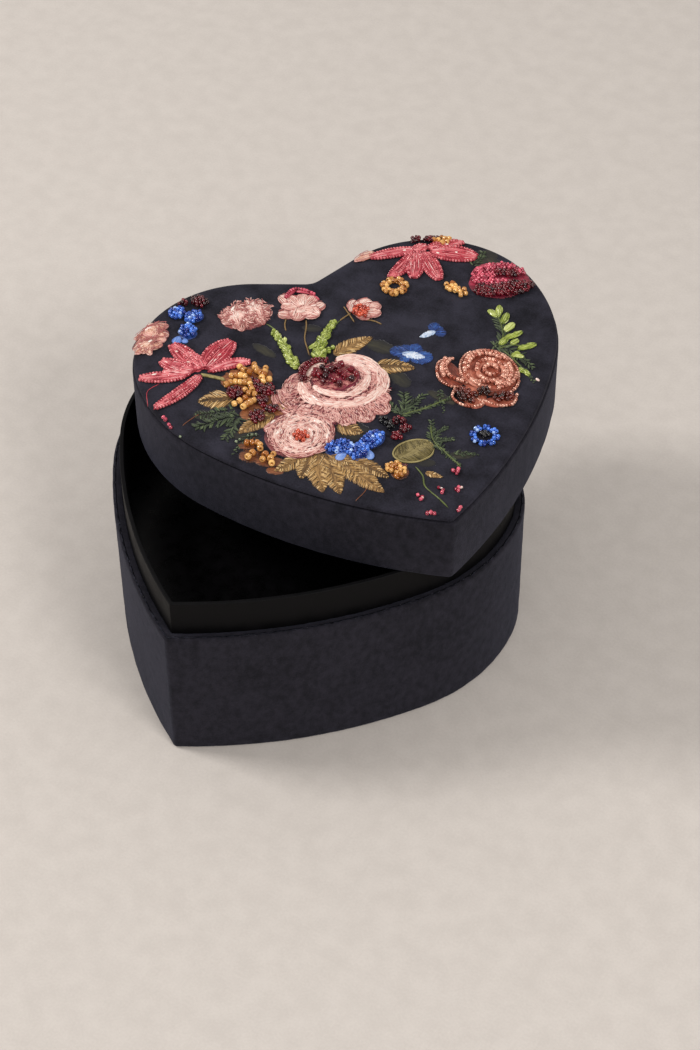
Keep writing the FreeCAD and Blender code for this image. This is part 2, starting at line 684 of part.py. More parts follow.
def clutch_spring():
    """Wrap spring round the hub: it slips while the key winds and grips while the spring drives."""
    inner = (DRIVE_HUB_RADIUS + SHAFT_CLEARANCE) / math.cos(math.pi / FACETS_PER_TURN)
    low = DRIVE_DISC_BOTTOM + DRIVE_DISC + SHAFT_CLEARANCE
    section = [(inner, 0), (inner + CLUTCH_WIRE, 0), (inner + CLUTCH_WIRE, CLUTCH_WIRE), (inner, CLUTCH_WIRE)]
    return helix_strip(section, CLUTCH_PITCH, CLUTCH_TURNS, 0, low)


def clip_height():
    return DRIVE_DISC_BOTTOM + DRIVE_DISC + DRIVE_HUB_RISE + AXIAL_PLAY


def key_top():
    return -(BOTTOM_BOARD + PAPER + KEY_BOARD_GAP)


def winding_arbor():
    """Steel arbor: its core holds the mainspring's inner end, its lower end carries the key."""
    shaft = rod(ARBOR_RADIUS, 0, 0, key_bore_end(), clip_height() + 2 * CLIP_THICKNESS)
    core_low = BED_THICKNESS + AXIAL_PLAY
    core = rod(ARBOR_CORE_RADIUS, 0, 0, core_low, HOUSING_TOP - HOUSING_WALL - AXIAL_PLAY)
    return joined(shaft, core)


def arbor_clip():
    low = clip_height()
    ring = rod(CLIP_RADIUS, 0, 0, low, low + CLIP_THICKNESS)
    return one_solid(ring.cut(rod(ARBOR_RADIUS, 0, 0, low - 1, low + 2)))


def key_bore_end():
    return key_top() - KEY_WING_RADIUS


def winding_key():
    """Butterfly key with two pierced wings, screwed on the arbor and clear of the ground."""
    low = KEY_GROUND_GAP - BED_Z
    hub = rod(KEY_HUB_RADIUS, 0, 0, low + KEY_WING_RADIUS / 2, key_top())
    parts = []
    eyes = []
    for side in (-1, 1):
        middle = Vector(side * KEY_WING_REACH, -KEY_WING_THICKNESS / 2, low + KEY_WING_RADIUS)
        parts.append(Part.makeCylinder(KEY_WING_RADIUS, KEY_WING_THICKNESS, middle, Vector(0, 1, 0)))
        eyes.append(Part.makeCylinder(KEY_EYE_RADIUS, KEY_WING_THICKNESS, middle, Vector(0, 1, 0)))
    half = KEY_WING_THICKNESS / 2
    web_low = low + KEY_WING_RADIUS - KEY_WEB_HEIGHT / 2
    parts.append(box(-KEY_WING_REACH, KEY_WING_REACH, -half, half, web_low, web_low + KEY_WEB_HEIGHT))
    bore = rod(ARBOR_RADIUS, 0, 0, key_bore_end(), key_top() + 1)
    return one_solid(joined(hub, *parts).cut(Part.Compound(eyes + [bore])))


# ---- movement: cylinder
def track_x(number):
    return COMB_LEFT + (number + 0.5) * TRACK_PITCH


def music_cylinder():
    """Brass tube with raised pins: a plain rising pattern over eighteen tracks, not a tune."""
    tube = axle(CYLINDER_RADIUS, 0, AXIS_Z, CYLINDER_LEFT, CYLINDER_RIGHT)
    inside = axle(CYLINDER_RADIUS - CYLINDER_TUBE, 0, AXIS_Z, CYLINDER_LEFT - 1, CYLINDER_RIGHT + 1)
    pins = []
    start = CYLINDER_RADIUS - CYLINDER_TUBE / 2
    for track in range(TRACKS):
        for number in range(PINS_PER_TRACK):
            angle = 2 * math.pi * (number / PINS_PER_TRACK + track / TRACKS * (1 + number) / PINS_PER_TRACK)
            outward = Vector(0, math.cos(angle), math.sin(angle))
            foot = Vector(track_x(track), 0, AXIS_Z) + outward * start
            pins.append(Part.makeCylinder(PIN_RADIUS, PIN_CIRCLE - start, foot, outward))
    return one_solid(tube.cut(inside).multiFuse(pins))


def cylinder_caps():
    """Two discs pressed into the tube's ends and onto the axle."""
    caps = []
    for left in (CYLINDER_LEFT, CYLINDER_RIGHT - CYLINDER_CAP):
        disc = axle(CYLINDER_RADIUS - CYLINDER_TUBE, 0, AXIS_Z, left, left + CYLINDER_CAP)
        caps.append(disc.cut(axle(CYLINDER_AXLE_RADIUS, 0, AXIS_Z, left - 1, left + 2)))
    return Part.Compound(caps)


def pinion_left():
    return DRIVE_RADIUS - PINION_FACE / 2


def cylinder_axle():
    return axle(CYLINDER_AXLE_RADIUS, 0, AXIS_Z, pinion_left(), GEAR_X + GEAR_WIDTH)


def cylinder_pinion():
    """Pinion on the axle's left end, a tooth pointing down between two crown teeth."""
    face = wheel_outline(PINION_TEETH, PINION_PITCH_RADIUS, COARSE_ADDENDUM, COARSE_DEDENDUM,
                         COARSE_TIP, COARSE_ROOT, -math.pi / 2)
    wheel = face.extrude(UP * PINION_FACE).cut(rod(CYLINDER_AXLE_RADIUS, 0, 0, -1, PINION_FACE + 1))
    return stood_along_x(wheel, pinion_left(), 0, AXIS_Z)


def mesh_angle():
    """Direction from the cylinder's axis to the governor arbor, from +Y towards +Z."""
    return math.atan2(GOVERNOR_Z - AXIS_Z, GOVERNOR_Y)


def cylinder_gear():
    wheel = fine_wheel(CYLINDER_GEAR_TEETH, mesh_angle(), CYLINDER_AXLE_RADIUS, GEAR_WIDTH)
    return stood_along_x(wheel, GEAR_X, 0, AXIS_Z)


# ---- movement: comb
def comb_screw_places():
    middle = COMB_LEFT + COMB_WIDTH / 2
    y = (COMB_BASE_Y + COMB_BACK_Y) / 2
    return [(middle - COMB_SCREW_SPACING / 2, y), (middle + COMB_SCREW_SPACING / 2, y)]


def comb_screw_depth():
    return 3 * COMB_SCREW_RADIUS


def comb():
    """Steel comb of eighteen teeth, longest at the bass end, whose tips stop short of the pins."""
    plate = box(COMB_LEFT, COMB_LEFT + COMB_WIDTH, COMB_BACK_Y, COMB_TIP_Y, COMB_Z, COMB_Z + COMB_THICKNESS)
    cuts = []
    for number in range(1, TRACKS):
        share = number / TRACKS
        length = COMB_BASS_LENGTH + (COMB_TREBLE_LENGTH - COMB_BASS_LENGTH) * share
        x = COMB_LEFT + number * TRACK_PITCH
        cuts.append(box(x - COMB_SLOT / 2, x + COMB_SLOT / 2, COMB_TIP_Y - length, COMB_TIP_Y + 1,
                        COMB_Z - 1, COMB_Z + COMB_THICKNESS + 1))
    for x, y in comb_screw_places():
        cuts.append(rod(COMB_SCREW_RADIUS, x, y, COMB_Z - 1, COMB_Z + COMB_THICKNESS + 1))
    return one_solid(plate.cut(Part.Compound(cuts)))


def comb_weights():
    """Lead weights soldered under the bass teeth."""
    weights = []
    far = COMB_TIP_Y - WEIGHT_LENGTH / 4
    for number in range(COMB_WEIGHTS):
        x = track_x(number)
        weights.append(box(x - WEIGHT_WIDTH / 2, x + WEIGHT_WIDTH / 2, far - WEIGHT_LENGTH, far,
                           COMB_Z - WEIGHT_HEIGHT, COMB_Z))
    return Part.Compound(weights)


def comb_screws():
    seat = COMB_Z + COMB_THICKNESS
    depth = COMB_THICKNESS + comb_screw_depth()
    screws = []
    for x, y in comb_screw_places():
        screws.append(screw(COMB_SCREW_RADIUS, COMB_HEAD_RADIUS, COMB_HEAD, x, y, seat, depth))
    return Part.Compound(screws)


# ---- movement: governor
def governor_screw_places():
    return [(WORM_X + x, GOVERNOR_Y + y) for x, y in GOVERNOR_SCREWS]


def governor_bracket():
    """Bent bracket: foot with the fly's lower pivot, plate with the arbor's pivot, and an upper lug."""
    low = BED_THICKNESS
    back = GOVERNOR_Y + GOVERNOR_FOOT_BACK
    front = WORM_Y - GOVERNOR_FOOT_FRONT
    lug_back = WORM_Y + LUG_BACK
    right = GOVERNOR_PLATE_X + BRACKET_SHEET
    foot = box(GEAR_X, right, front, back, low, low + BRACKET_SHEET)
    top = LUG_PLATE_Z + BRACKET_SHEET
    plate = box(GOVERNOR_PLATE_X, right, front, back, low, GOVERNOR_Z + GOVERNOR_PLATE_HEAD_ROOM)
    post = box(GOVERNOR_PLATE_X, right, front, lug_back, low, top)
    lug = box(WORM_X - LUG_LEFT, right, front, lug_back, LUG_PLATE_Z, top)
    bores = [
        axle(GOVERNOR_AXLE_RADIUS + SHAFT_CLEARANCE, GOVERNOR_Y, GOVERNOR_Z, GOVERNOR_PLATE_X - 1, right + 1),
        rod(FLY_SPINDLE_RADIUS + SHAFT_CLEARANCE, WORM_X, WORM_Y, low + BRACKET_SHEET / 4, top + 1),
    ]
    for x, y in governor_screw_places():
        bores.append(rod(SMALL_SCREW_RADIUS, x, y, low - 1, low + 2))
    return one_solid(joined(foot, plate, post, lug).cut(Part.Compound(bores)))


def governor_screws():
    return small_screws(governor_screw_places())


def governor_axle():
    left = RIGHT_UPRIGHT + AXIAL_PLAY
    right = GOVERNOR_PLATE_X + BRACKET_SHEET - AXIAL_PLAY
    return axle(GOVERNOR_AXLE_RADIUS, GOVERNOR_Y, GOVERNOR_Z, left, right)


def governor_pinion():
    """Nine-tooth pinion whose tooth space faces the cylinder gear's tooth."""
    phase = mesh_angle() + math.pi + math.pi / GOVERNOR_PINION_TEETH
    wheel = fine_wheel(GOVERNOR_PINION_TEETH, phase, GOVERNOR_AXLE_RADIUS, GEAR_WIDTH)
    return stood_along_x(wheel, GEAR_X, GOVERNOR_Y, GOVERNOR_Z)


def worm_wheel():
    wheel = fine_wheel(WORM_WHEEL_TEETH, math.pi, GOVERNOR_AXLE_RADIUS, GEAR_WIDTH)
    return stood_along_x(wheel, WORM_WHEEL_X, GOVERNOR_Y, GOVERNOR_Z)


def worm_spindle():
    """Fly spindle with a two-start worm; the wheel's tooth stands midway between two threads."""
    pitch = math.pi * FINE_MODULE
    lead = WORM_STARTS * pitch
    turns = WORM_LENGTH / lead
    low = GOVERNOR_Z - WORM_LENGTH / 2
    inner = WORM_ROOT - FINE_DEDENDUM / 2
    half_root = FINE_ROOT / 2
    half_tip = FINE_TIP / 2
    section = [(inner, -half_root), (WORM_TIP, -half_tip), (WORM_TIP, half_tip), (inner, half_root)]
    start_angle = math.pi / 2 + 2 * math.pi * (0.5 * pitch - (GOVERNOR_Z - low)) / lead
    threads = []
    for number in range(WORM_STARTS):
        phase = start_angle + 2 * math.pi * number / WORM_STARTS
        threads.append(helix_strip(section, lead, turns, phase, low))
    margin = FINE_ROOT
    core = rod(WORM_ROOT, 0, 0, low - margin, low + WORM_LENGTH + margin)
    foot = BED_THICKNESS + BRACKET_SHEET / 4 + AXIAL_PLAY
    spindle = rod(FLY_SPINDLE_RADIUS, 0, 0, foot, FLY_Z + FLY_HEIGHT)
    worm = joined(core, spindle, *threads)
    worm.translate(Vector(WORM_X, WORM_Y, 0))
    return worm


def fly():
    """Two-winged air brake pressed on the spindle's upper end."""
    hub = rod(FLY_HUB_RADIUS, WORM_X, WORM_Y, FLY_Z, FLY_Z + FLY_HEIGHT)
    top = FLY_Z + FLY_HEIGHT
    half = FLY_SHEET / 2
    wings = box(WORM_X - FLY_REACH, WORM_X + FLY_REACH, WORM_Y - half, WORM_Y + half, FLY_Z, top)
    bore = rod(FLY_SPINDLE_RADIUS, WORM_X, WORM_Y, FLY_Z - 1, FLY_Z + FLY_HEIGHT + 1)
    return one_solid(joined(hub, wings).cut(bore))


# ---- the files
BASE_PIECES = (
    base_wall_fabric, base_wall_board, bottom_board, bottom_paper,
    neck_board, neck_paper, floor_riser, floor_board, floor_paper,
)
LID_PIECES = (
    lid_rim_board, lid_rim_fabric, lid_deck_board, lid_lining,
    lid_pad_board, lid_wadding, lid_top_fabric,
)
MOVEMENT_PIECES = (
    bedplate, mounting_screws, mounting_washers, spring_housing, housing_rivets, mainspring,
    cylinder_bracket, bracket_screws, drive_gear, clutch_spring, winding_arbor, arbor_clip, winding_key,
    music_cylinder, cylinder_caps, cylinder_axle, cylinder_pinion, cylinder_gear,
    comb, comb_weights, comb_screws, governor_bracket, governor_screws,
    governor_axle, governor_pinion, worm_wheel, worm_spindle, fly,
)


def write(maker, turn=0, move=Vector(0, 0, 0)):
    """Write one piece, turned about Z and moved to its place, under its function's name."""
    shape = maker()
    shape.rotate(Vector(0, 0, 0), UP, turn)
    shape.translate(move)
    if not shape.isValid():
        raise ValueError(maker.__name__ + " is not valid")
    shape.exportStep(os.path.join("parts", maker.__name__ + ".step"))


os.makedirs("parts", exist_ok=True)
for piece in BASE_PIECES:
    write(piece)
for piece in LID_PIECES:
    write(piece, LID_TURN, Vector(LID_AT_X, LID_AT_Y, LID_Z))
for piece in MOVEMENT_PIECES:
    write(piece, 0, Vector(MOVEMENT_X, MOVEMENT_Y, BED_Z))
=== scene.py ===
"""Looks of a heart-shaped wind-up music box: covered boards, a small movement and an embroidered lid."""
import math
import bmesh
import bpy
import numpy as np
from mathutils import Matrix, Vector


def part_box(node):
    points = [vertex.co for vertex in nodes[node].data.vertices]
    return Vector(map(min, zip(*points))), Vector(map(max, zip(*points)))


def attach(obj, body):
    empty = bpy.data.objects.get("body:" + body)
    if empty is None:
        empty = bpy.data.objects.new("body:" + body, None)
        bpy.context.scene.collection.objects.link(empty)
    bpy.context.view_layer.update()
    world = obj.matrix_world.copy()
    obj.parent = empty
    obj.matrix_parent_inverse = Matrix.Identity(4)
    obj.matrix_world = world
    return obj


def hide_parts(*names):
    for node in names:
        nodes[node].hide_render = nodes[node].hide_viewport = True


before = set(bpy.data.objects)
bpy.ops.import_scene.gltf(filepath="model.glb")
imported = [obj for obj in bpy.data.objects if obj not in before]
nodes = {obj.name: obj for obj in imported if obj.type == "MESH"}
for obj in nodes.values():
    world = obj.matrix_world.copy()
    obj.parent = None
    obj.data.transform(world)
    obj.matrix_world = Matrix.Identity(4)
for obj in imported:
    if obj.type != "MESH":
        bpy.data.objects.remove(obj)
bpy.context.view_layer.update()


# ---- Grey boards
# The walls, bottom, neck, tray floor, lid deck and pad base are cut from 2 mm grey bookbinder's
# board with a knife and glued at their edges. Only their cut edges and the bottom would ever be seen.
def linear(colour):
    """Linear red, green, blue and alpha of an sRGB hex colour."""
    c = np.array([int(colour[i:i + 2], 16) for i in (1, 3, 5)]) / 255
    c = np.where(c <= 0.04045, c / 12.92, ((c + 0.055) / 1.055) ** 2.4)
    return (*c.tolist(), 1.0)


def add(tree, kind, settings=None, links=None):
    """Adds a shader node. Settings go to its inputs, by name or number, or else to its properties."""
    node = tree.nodes.new("ShaderNode" + kind)
    chosen = settings or {}
    for key in [k for k in chosen if isinstance(k, str) and hasattr(node, k)]:
        setattr(node, key, chosen[key])
    for key in [k for k in chosen if not (isinstance(k, str) and hasattr(node, k))]:
        node.inputs[key].default_value = chosen[key]
    for key, source in (links or {}).items():
        tree.links.new(node.inputs[key], source)
    return node


def shaded(name, **shader):
    """A new material with one surface shader: its tree and that shader."""
    made = bpy.data.materials.new(name)
    made.use_nodes = True
    surface_shader = made.node_tree.nodes["Principled BSDF"]
    for key, value in shader.items():
        surface_shader.inputs[key.replace("_", " ")].default_value = value
    return made, made.node_tree, surface_shader


def grained(name, dark, light, grain, stretch=(1, 1, 1), relief=0.02, rough=(0.4, 0.6), **shader):
    """A material mottled between two colours, with relief. Grain and relief are in millimetres."""
    made, tree, face = shaded(name, **shader)
    place = add(tree, "TexCoord").outputs["Object"]
    drawn = add(tree, "Mapping", {"Scale": stretch}, {"Vector": place}).outputs[0]
    grains = add(tree, "TexNoise", {"Scale": 1000 / grain, "Detail": 5.0}, {"Vector": drawn})
    clouds = add(tree, "TexNoise", {"Scale": 1000 / (grain * 9), "Detail": 2.0}, {"Vector": drawn})
    both = add(tree, "Math", {"operation": "ADD"}, {0: grains.outputs[0], 1: clouds.outputs[0]})
    share = add(tree, "MapRange", {1: 0.75, 2: 1.25}, {0: both.outputs[0]})
    tint = add(tree, "Mix", {"data_type": "RGBA", 6: linear(dark), 7: linear(light)},
               {0: share.outputs[0]})
    gloss = add(tree, "MapRange", {1: 0.3, 2: 0.7, 3: rough[0], 4: rough[1]}, {0: clouds.outputs[0]})
    bump = add(tree, "Bump", {"Distance": relief / 1000, "Strength": 1.0}, {"Height": grains.outputs[0]})
    tree.links.new(face.inputs["Base Color"], tint.outputs[2])
    tree.links.new(face.inputs["Roughness"], gloss.outputs[0])
    tree.links.new(face.inputs["Normal"], bump.outputs[0])
    return made


def dress(material, *names):
    """Gives CAD nodes this material."""
    for name in names:
        slots = nodes[name].data.materials
        slots.clear()
        slots.append(material)


# Pressed waste-paper board: dull grey, flecked with darker fibres about 0.6 mm long.
greyboard = grained("greyboard", "#6f6a63", "#9a958c", 0.6, relief=0.03, rough=(0.85, 0.95),
                    IOR=1.45, Specular_IOR_Level=0.3)
dress(greyboard, "base_wall_board", "bottom_board", "neck_board", "floor_riser", "floor_board",
      "lid_rim_board", "lid_deck_board", "lid_pad_board")

# Wadding: a loose white polyester fleece, matt and cloudy.
fleece = grained("polyester fleece", "#d6d2c8", "#f2efe8", 0.8, relief=0.15, rough=(0.9, 1.0),
                 IOR=1.45, Sheen_Weight=0.3)
dress(fleece, "lid_wadding")


# ---- Linings
# Black lining paper is pasted on the tray floor, inside the lid and under the bottom board. It is
# calendered, so that it shows dull streaks of light.
satin_paper = grained("calendered black paper", "#050506", "#0b0a0c", 0.5, relief=0.012,
                      rough=(0.5, 0.6), IOR=1.45, Specular_IOR_Level=0.12)
tray_paper = grained("glazed black paper", "#030303", "#080709", 0.5, relief=0.006,
                     rough=(0.24, 0.34), IOR=1.45, Specular_IOR_Level=0.2)
dress(tray_paper, "floor_paper")
dress(satin_paper, "bottom_paper", "lid_lining")


# ---- Movement
# A zinc die-cast bedplate carries the nickel-plated steel brackets, the spring in its housing, the
# brass cylinder and the steel comb. Lead weights tune the low teeth and the fly is moulded nylon.
zinc = grained("zinc die casting", "#8d8f92", "#b3b5b8", 0.5, relief=0.02, rough=(0.42, 0.55), Metallic=1.0)
dress(zinc, "bedplate")
plated = grained("nickel plated steel", "#b9b5ab", "#d8d4ca", 0.3, stretch=(1, 8, 1), relief=0.003,
                 rough=(0.2, 0.32), Metallic=1.0)
dress(plated, "mounting_screws", "mounting_washers", "spring_housing", "housing_rivets",
      "winding_arbor", "winding_key", "arbor_clip", "cylinder_bracket", "bracket_screws",
      "cylinder_axle", "comb_screws", "governor_bracket", "governor_screws", "governor_axle",
      "worm_spindle")
spring_steel = grained("tempered spring steel", "#6c6f75", "#95999f", 0.3, stretch=(1, 6, 1),
                       relief=0.003, rough=(0.25, 0.4), Metallic=1.0)
dress(spring_steel, "comb", "mainspring", "clutch_spring")
brass = grained("turned brass", "#a8823f", "#cba860", 0.3, stretch=(9, 1, 1), relief=0.004,
                rough=(0.22, 0.36), Metallic=1.0)
dress(brass, "drive_gear", "music_cylinder", "cylinder_caps", "cylinder_pinion", "cylinder_gear",
      "governor_pinion", "worm_wheel")
lead = grained("cast lead", "#55585d", "#74777c", 0.4, relief=0.02, rough=(0.5, 0.7), Metallic=1.0)
dress(lead, "comb_weights")
nylon = grained("moulded nylon", "#d9d6cb", "#efece3", 0.7, relief=0.006, rough=(0.35, 0.45),
                IOR=1.53, Subsurface_Weight=0.1)
dress(nylon, "fly")


# ---- Suede round the base
# One strip of dark navy microfibre suede is glued round the base wall, over its rim into the neck's
# gap and under its foot. Its short nap lies in soft streaks and bunches up along the rim.
WIDTH = 150.0
TIP_HEADING, SIDE_TURN = 29.3, 28.2
SHOULDER, SHOULDER_TURN = 63.6, 43.0
LOBE, LOBE_TURN = 40.3, 101.8
CLEFT, TIP = 6.0, 2.2
STEPS = {"tip": 7, "side": 56, "shoulder": 44, "lobe": 64, "run": 8, "cleft": 10}


def outline(inset):
    """Closed heart outline moved inwards by inset, in millimetres, counter-clockwise from the tip.

    Where the path runs at heading h, an arc's point is its centre + radius * (sin h, -cos h). The
    right half is a tip arc, a side, a shoulder, a lobe, a straight run and a cleft, then mirrored.
    """
    h0 = math.radians(TIP_HEADING)
    h1 = h0 + math.radians(SIDE_TURN)
    h2 = h1 + math.radians(SHOULDER_TURN)
    h3 = h2 + math.radians(LOBE_TURN)
    side = (WIDTH / 2 - SHOULDER * (1 - math.sin(h1))) / (math.sin(h1) - math.sin(h0))
    step = lambda c, r, h: (c[0] + r * np.sin(h), c[1] - r * np.cos(h))
    c_side = step((0, 0), -side, h0)
    c_shoulder = step(c_side, side - SHOULDER, h1)
    c_lobe = step(c_shoulder, SHOULDER - LOBE, h2)
    end = step(c_lobe, LOBE, h3)
    start_x = -CLEFT * math.sin(h3)
    start = (start_x, end[1] + (start_x - end[0]) / math.cos(h3) * math.sin(h3))
    c_cleft = step(start, CLEFT, h3)
    tip = max(TIP - inset, 0.02)
    reach = side - inset - tip
    foot = math.asin(-c_side[0] / reach)
    c_tip = (0.0, c_side[1] - reach * math.cos(foot))
    arc = lambda c, r, a, b, n: np.stack(step(c, r, np.linspace(a, b, n, endpoint=False)), -1)
    last = np.stack(step(c_lobe, LOBE - inset, np.array([h3])), -1)
    first = np.stack(step(c_cleft, -CLEFT - inset, np.array([h3])), -1)
    run = last + (first - last) * np.linspace(0, 1, STEPS["run"], endpoint=False)[:, None]
    right = np.vstack([arc(c_tip, tip, 0, foot, STEPS["tip"]),
                       arc(c_side, side - inset, foot, h1, STEPS["side"]),
                       arc(c_shoulder, SHOULDER - inset, h1, h2, STEPS["shoulder"]),
                       arc(c_lobe, LOBE - inset, h2, h3, STEPS["lobe"]), run,
                       arc(c_cleft, -CLEFT - inset, h3, math.pi, STEPS["cleft"])])
    cleft_end = np.stack(step(c_cleft, -CLEFT - inset, np.array([math.pi])), -1)
    whole = np.vstack([right, cleft_end, right[:0:-1] * (-1, 1)])
    middle = (c_lobe[1] + LOBE) / 2
    return whole - (0, middle)


def unevenness(place, size):
    """Smooth unevenness between -1 and 1 at points in millimetres: five crossed sine waves."""
    ways = np.array([(1.0, 0.3, 0.2), (-0.5, 1.1, 0.4), (0.3, -0.8, 1.2), (1.3, 0.9, -0.7), (0.2, 1.7, 0.9)])
    return np.sin(place @ ways.T * (2 * math.pi / size) + np.arange(5) * 1.7).mean(-1)


def surface(name, grid, material, loop_u=False, loop_v=False, uv=None, marks=None, flip=False):
    """A mesh of grids of points in millimetres, shape (pieces, rows, columns, 3), or one such grid.

    Each four neighbouring points make a face, a loop joins the last row or column to the first,
    and points that fall together, as at a pole, are merged.
    """
    grid = np.asarray(grid, float).reshape((-1,) + np.shape(grid)[-3:])
    k, n, m = grid.shape[:3]
    i = np.arange(n if loop_u else n - 1)[:, None]
    j = np.arange(m if loop_v else m - 1)[None, :]
    corners = [(i, j), (i + 1, j), (i + 1, j + 1), (i, j + 1)]
    face = np.stack([(a % n) * m + b % m for a, b in corners], -1).reshape(-1, 4)
    face = face[:, ::-1] if flip else face
    faces = (np.arange(k)[:, None, None] * n * m + face).reshape(-1, 4)
    mesh = bpy.data.meshes.new(name)
    mesh.vertices.add(k * n * m)
    mesh.vertices.foreach_set("co", (grid / 1000).astype(np.float32).ravel())
    mesh.loops.add(faces.size)
    mesh.loops.foreach_set("vertex_index", faces.astype(np.int32).ravel())
    mesh.polygons.add(len(faces))
    mesh.polygons.foreach_set("loop_start", np.arange(0, faces.size, 4, dtype=np.int32))
    if uv is not None:
        layer = mesh.uv_layers.new(name="UVMap")
        flat = np.broadcast_to(uv, (k, n, m, 2)).reshape(-1, 2)[faces.ravel()]
        layer.data.foreach_set("uv", flat.astype(np.float32).ravel())
    for key, values in (marks or {}).items():
        mark = mesh.attributes.new(key, "FLOAT", "POINT")
        mark.data.foreach_set("value", np.broadcast_to(values, (k, n, m)).astype(np.float32).ravel())
    mesh.update()
    mesh.validate()
    work = bmesh.new()
    work.from_mesh(mesh)
    bmesh.ops.remove_doubles(work, verts=work.verts, dist=2e-7)
    bmesh.ops.dissolve_degenerate(work, edges=work.edges, dist=1e-8)
    for f in work.faces:
        f.smooth = True
    work.to_mesh(mesh)
    work.free()
    mesh.materials.append(material)
    piece = bpy.data.objects.new(name, mesh)
    bpy.context.scene.collection.objects.link(piece)
    return piece


def wrapped(profile, wobble, size):
    """Points of a closed profile of (inset, height) carried round the heart, with soft unevenness."""
    rings = np.stack([np.column_stack([outline(a), np.full(len(outline(a)), z)]) for a, z in profile])
    inward = outline(1.0) - outline(0.0)
    rings[..., :2] += inward * (unevenness(rings, size) * wobble)[..., None]
    return rings


def rounded(corners):
    """A profile through corner points, each (inset, height, radius), with its corners rounded.

    Round a corner the path is the quadratic curve from radius before it to radius after it.
    """
    p = np.array(corners, float)
    share = np.linspace(0, 1, 6)[:, None]
    made = []
    for before, here, after in zip(np.roll(p, 1, 0), p, np.roll(p, -1, 0)):
        a, b = before[:2] - here[:2], after[:2] - here[:2]
        a = here[:2] + a / np.hypot(*a) * here[2]
        b = here[:2] + b / np.hypot(*b) * here[2]
        curve = (1 - share) ** 2 * a + 2 * share * (1 - share) * here[:2] + share ** 2 * b
        made.append(curve if here[2] > 0 else here[None, :2])
    return np.vstack(made)


def suede(name, dark, light, nap, glow):
    """Microfibre suede: a fine nap drawn out along the height, cloudy where it was brushed."""
    made, tree, face = shaded(name, Roughness=0.9, IOR=1.45, Specular_IOR_Level=0.25,
                              Sheen_Weight=glow, Sheen_Roughness=0.45, Sheen_Tint=linear("#9aa0c0"))
    place = add(tree, "TexCoord").outputs["Object"]
    drawn = add(tree, "Mapping", {"Scale": nap}, {"Vector": place}).outputs[0]
    hairs = add(tree, "TexNoise", {"Scale": 1900.0, "Detail": 4.0, "Roughness": 0.65}, {"Vector": drawn})
    brushed = add(tree, "TexNoise", {"Scale": 420.0, "Detail": 4.0}, {"Vector": drawn})
    clouds = add(tree, "TexNoise", {"Scale": 38.0, "Detail": 2.0}, {"Vector": place})
    blend = add(tree, "Math", {"operation": "MULTIPLY_ADD", 1: 0.55},
                {0: hairs.outputs[0], 2: brushed.outputs[0]})
    blend = add(tree, "Math", {"operation": "MULTIPLY_ADD", 1: 0.5},
                {0: clouds.outputs[0], 2: blend.outputs[0]})
    share = add(tree, "MapRange", {1: 0.8, 2: 1.24}, {0: blend.outputs[0]})
    tint = add(tree, "Mix", {"data_type": "RGBA", 6: linear(dark), 7: linear(light)},
               {0: share.outputs[0]})
    bump = add(tree, "Bump", {"Distance": 0.00022, "Strength": 0.8}, {"Height": hairs.outputs[0]})
    tree.links.new(face.inputs["Base Color"], tint.outputs[2])
    tree.links.new(face.inputs["Normal"], bump.outputs[0])
    return made


# The nap is about 0.5 mm across and a little longer; hairs themselves are too fine to show.
navy_suede = suede("navy microfibre suede", "#111017", "#25232c", (1, 1, 0.75), 0.16)
foot_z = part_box("base_wall_fabric")[0].z * 1000
rim_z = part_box("base_wall_fabric")[1].z * 1000
skin, turned = 0.8, 0.7
gap_inset = 2.8 + turned
base_profile = rounded([
    (gap_inset, rim_z - 16.0, 0.1), (gap_inset, rim_z - 0.5, 0.5), (1.6, rim_z + 0.15, 1.0),
    (0, rim_z, 1.3), (0, foot_z, 1.5), (gap_inset, foot_z, 0.8), (gap_inset, foot_z + 10.0, 0.1),
    (2.8, foot_z + 10.0, 0.1), (2.8, foot_z + skin, 0.3), (skin, foot_z + skin, 0.3),
    (skin, rim_z - skin, 0.3), (2.8, rim_z - skin, 0.3), (2.8, rim_z - 16.0, 0.1)])
long_run = np.linspace(0, 1, 40)[:, None]
split = int(np.argmax((base_profile[:-1, 0] < 0.01) & (base_profile[:-1, 1] - base_profile[1:, 1] > 20)))
base_profile = np.vstack([
    base_profile[:split],
    base_profile[split] + (base_profile[split + 1] - base_profile[split]) * long_run,
    base_profile[split + 2:]])
base_rings = wrapped(base_profile, 0.10, 9.0)
at_rim = np.clip((base_rings[..., 2] - rim_z + 1.0) / 1.0, 0, 1)
base_rings[..., 2] += at_rim * unevenness(base_rings[..., :3] * (1, 1, 0), 5.0) * 0.28
base_suede = surface("base_suede", base_rings, navy_suede, loop_u=True, loop_v=True)
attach(base_suede, "base")
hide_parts("base_wall_fabric")


# ---- Neck
# A strip of calendered black paper is folded over the neck board and pasted down on both faces. Its
# folded top edges are a little rounded and catch the light as two thin lines.
neck_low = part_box("neck_paper")[0].z * 1000
neck_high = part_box("neck_paper")[1].z * 1000
neck_profile = rounded([
    (3.5, neck_low, 0.02), (3.65, neck_low, 0.02), (3.65, neck_high - 0.15, 0.02),
    (4.85, neck_high - 0.15, 0.02), (4.85, neck_low, 0.02), (5.0, neck_low, 0.02),
    (5.0, neck_high, 0.3), (3.5, neck_high, 0.3)])
neck_rings = wrapped(neck_profile, 0.05, 21.0)
neck_wrap = surface("neck_wrap", neck_rings, satin_paper, loop_u=True, loop_v=True)
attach(neck_wrap, "base")
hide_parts("neck_paper")


# ---- Lid wall
# The lid's wall is covered like the base, with the suede turned in under the wall and glued down 12 mm
# wide on the deck, where the padded top covers it.
LID_TURN, LID_X, LID_Y = 52.8, 16.8, 34.2
lid_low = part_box("lid_rim_fabric")[0].z * 1000


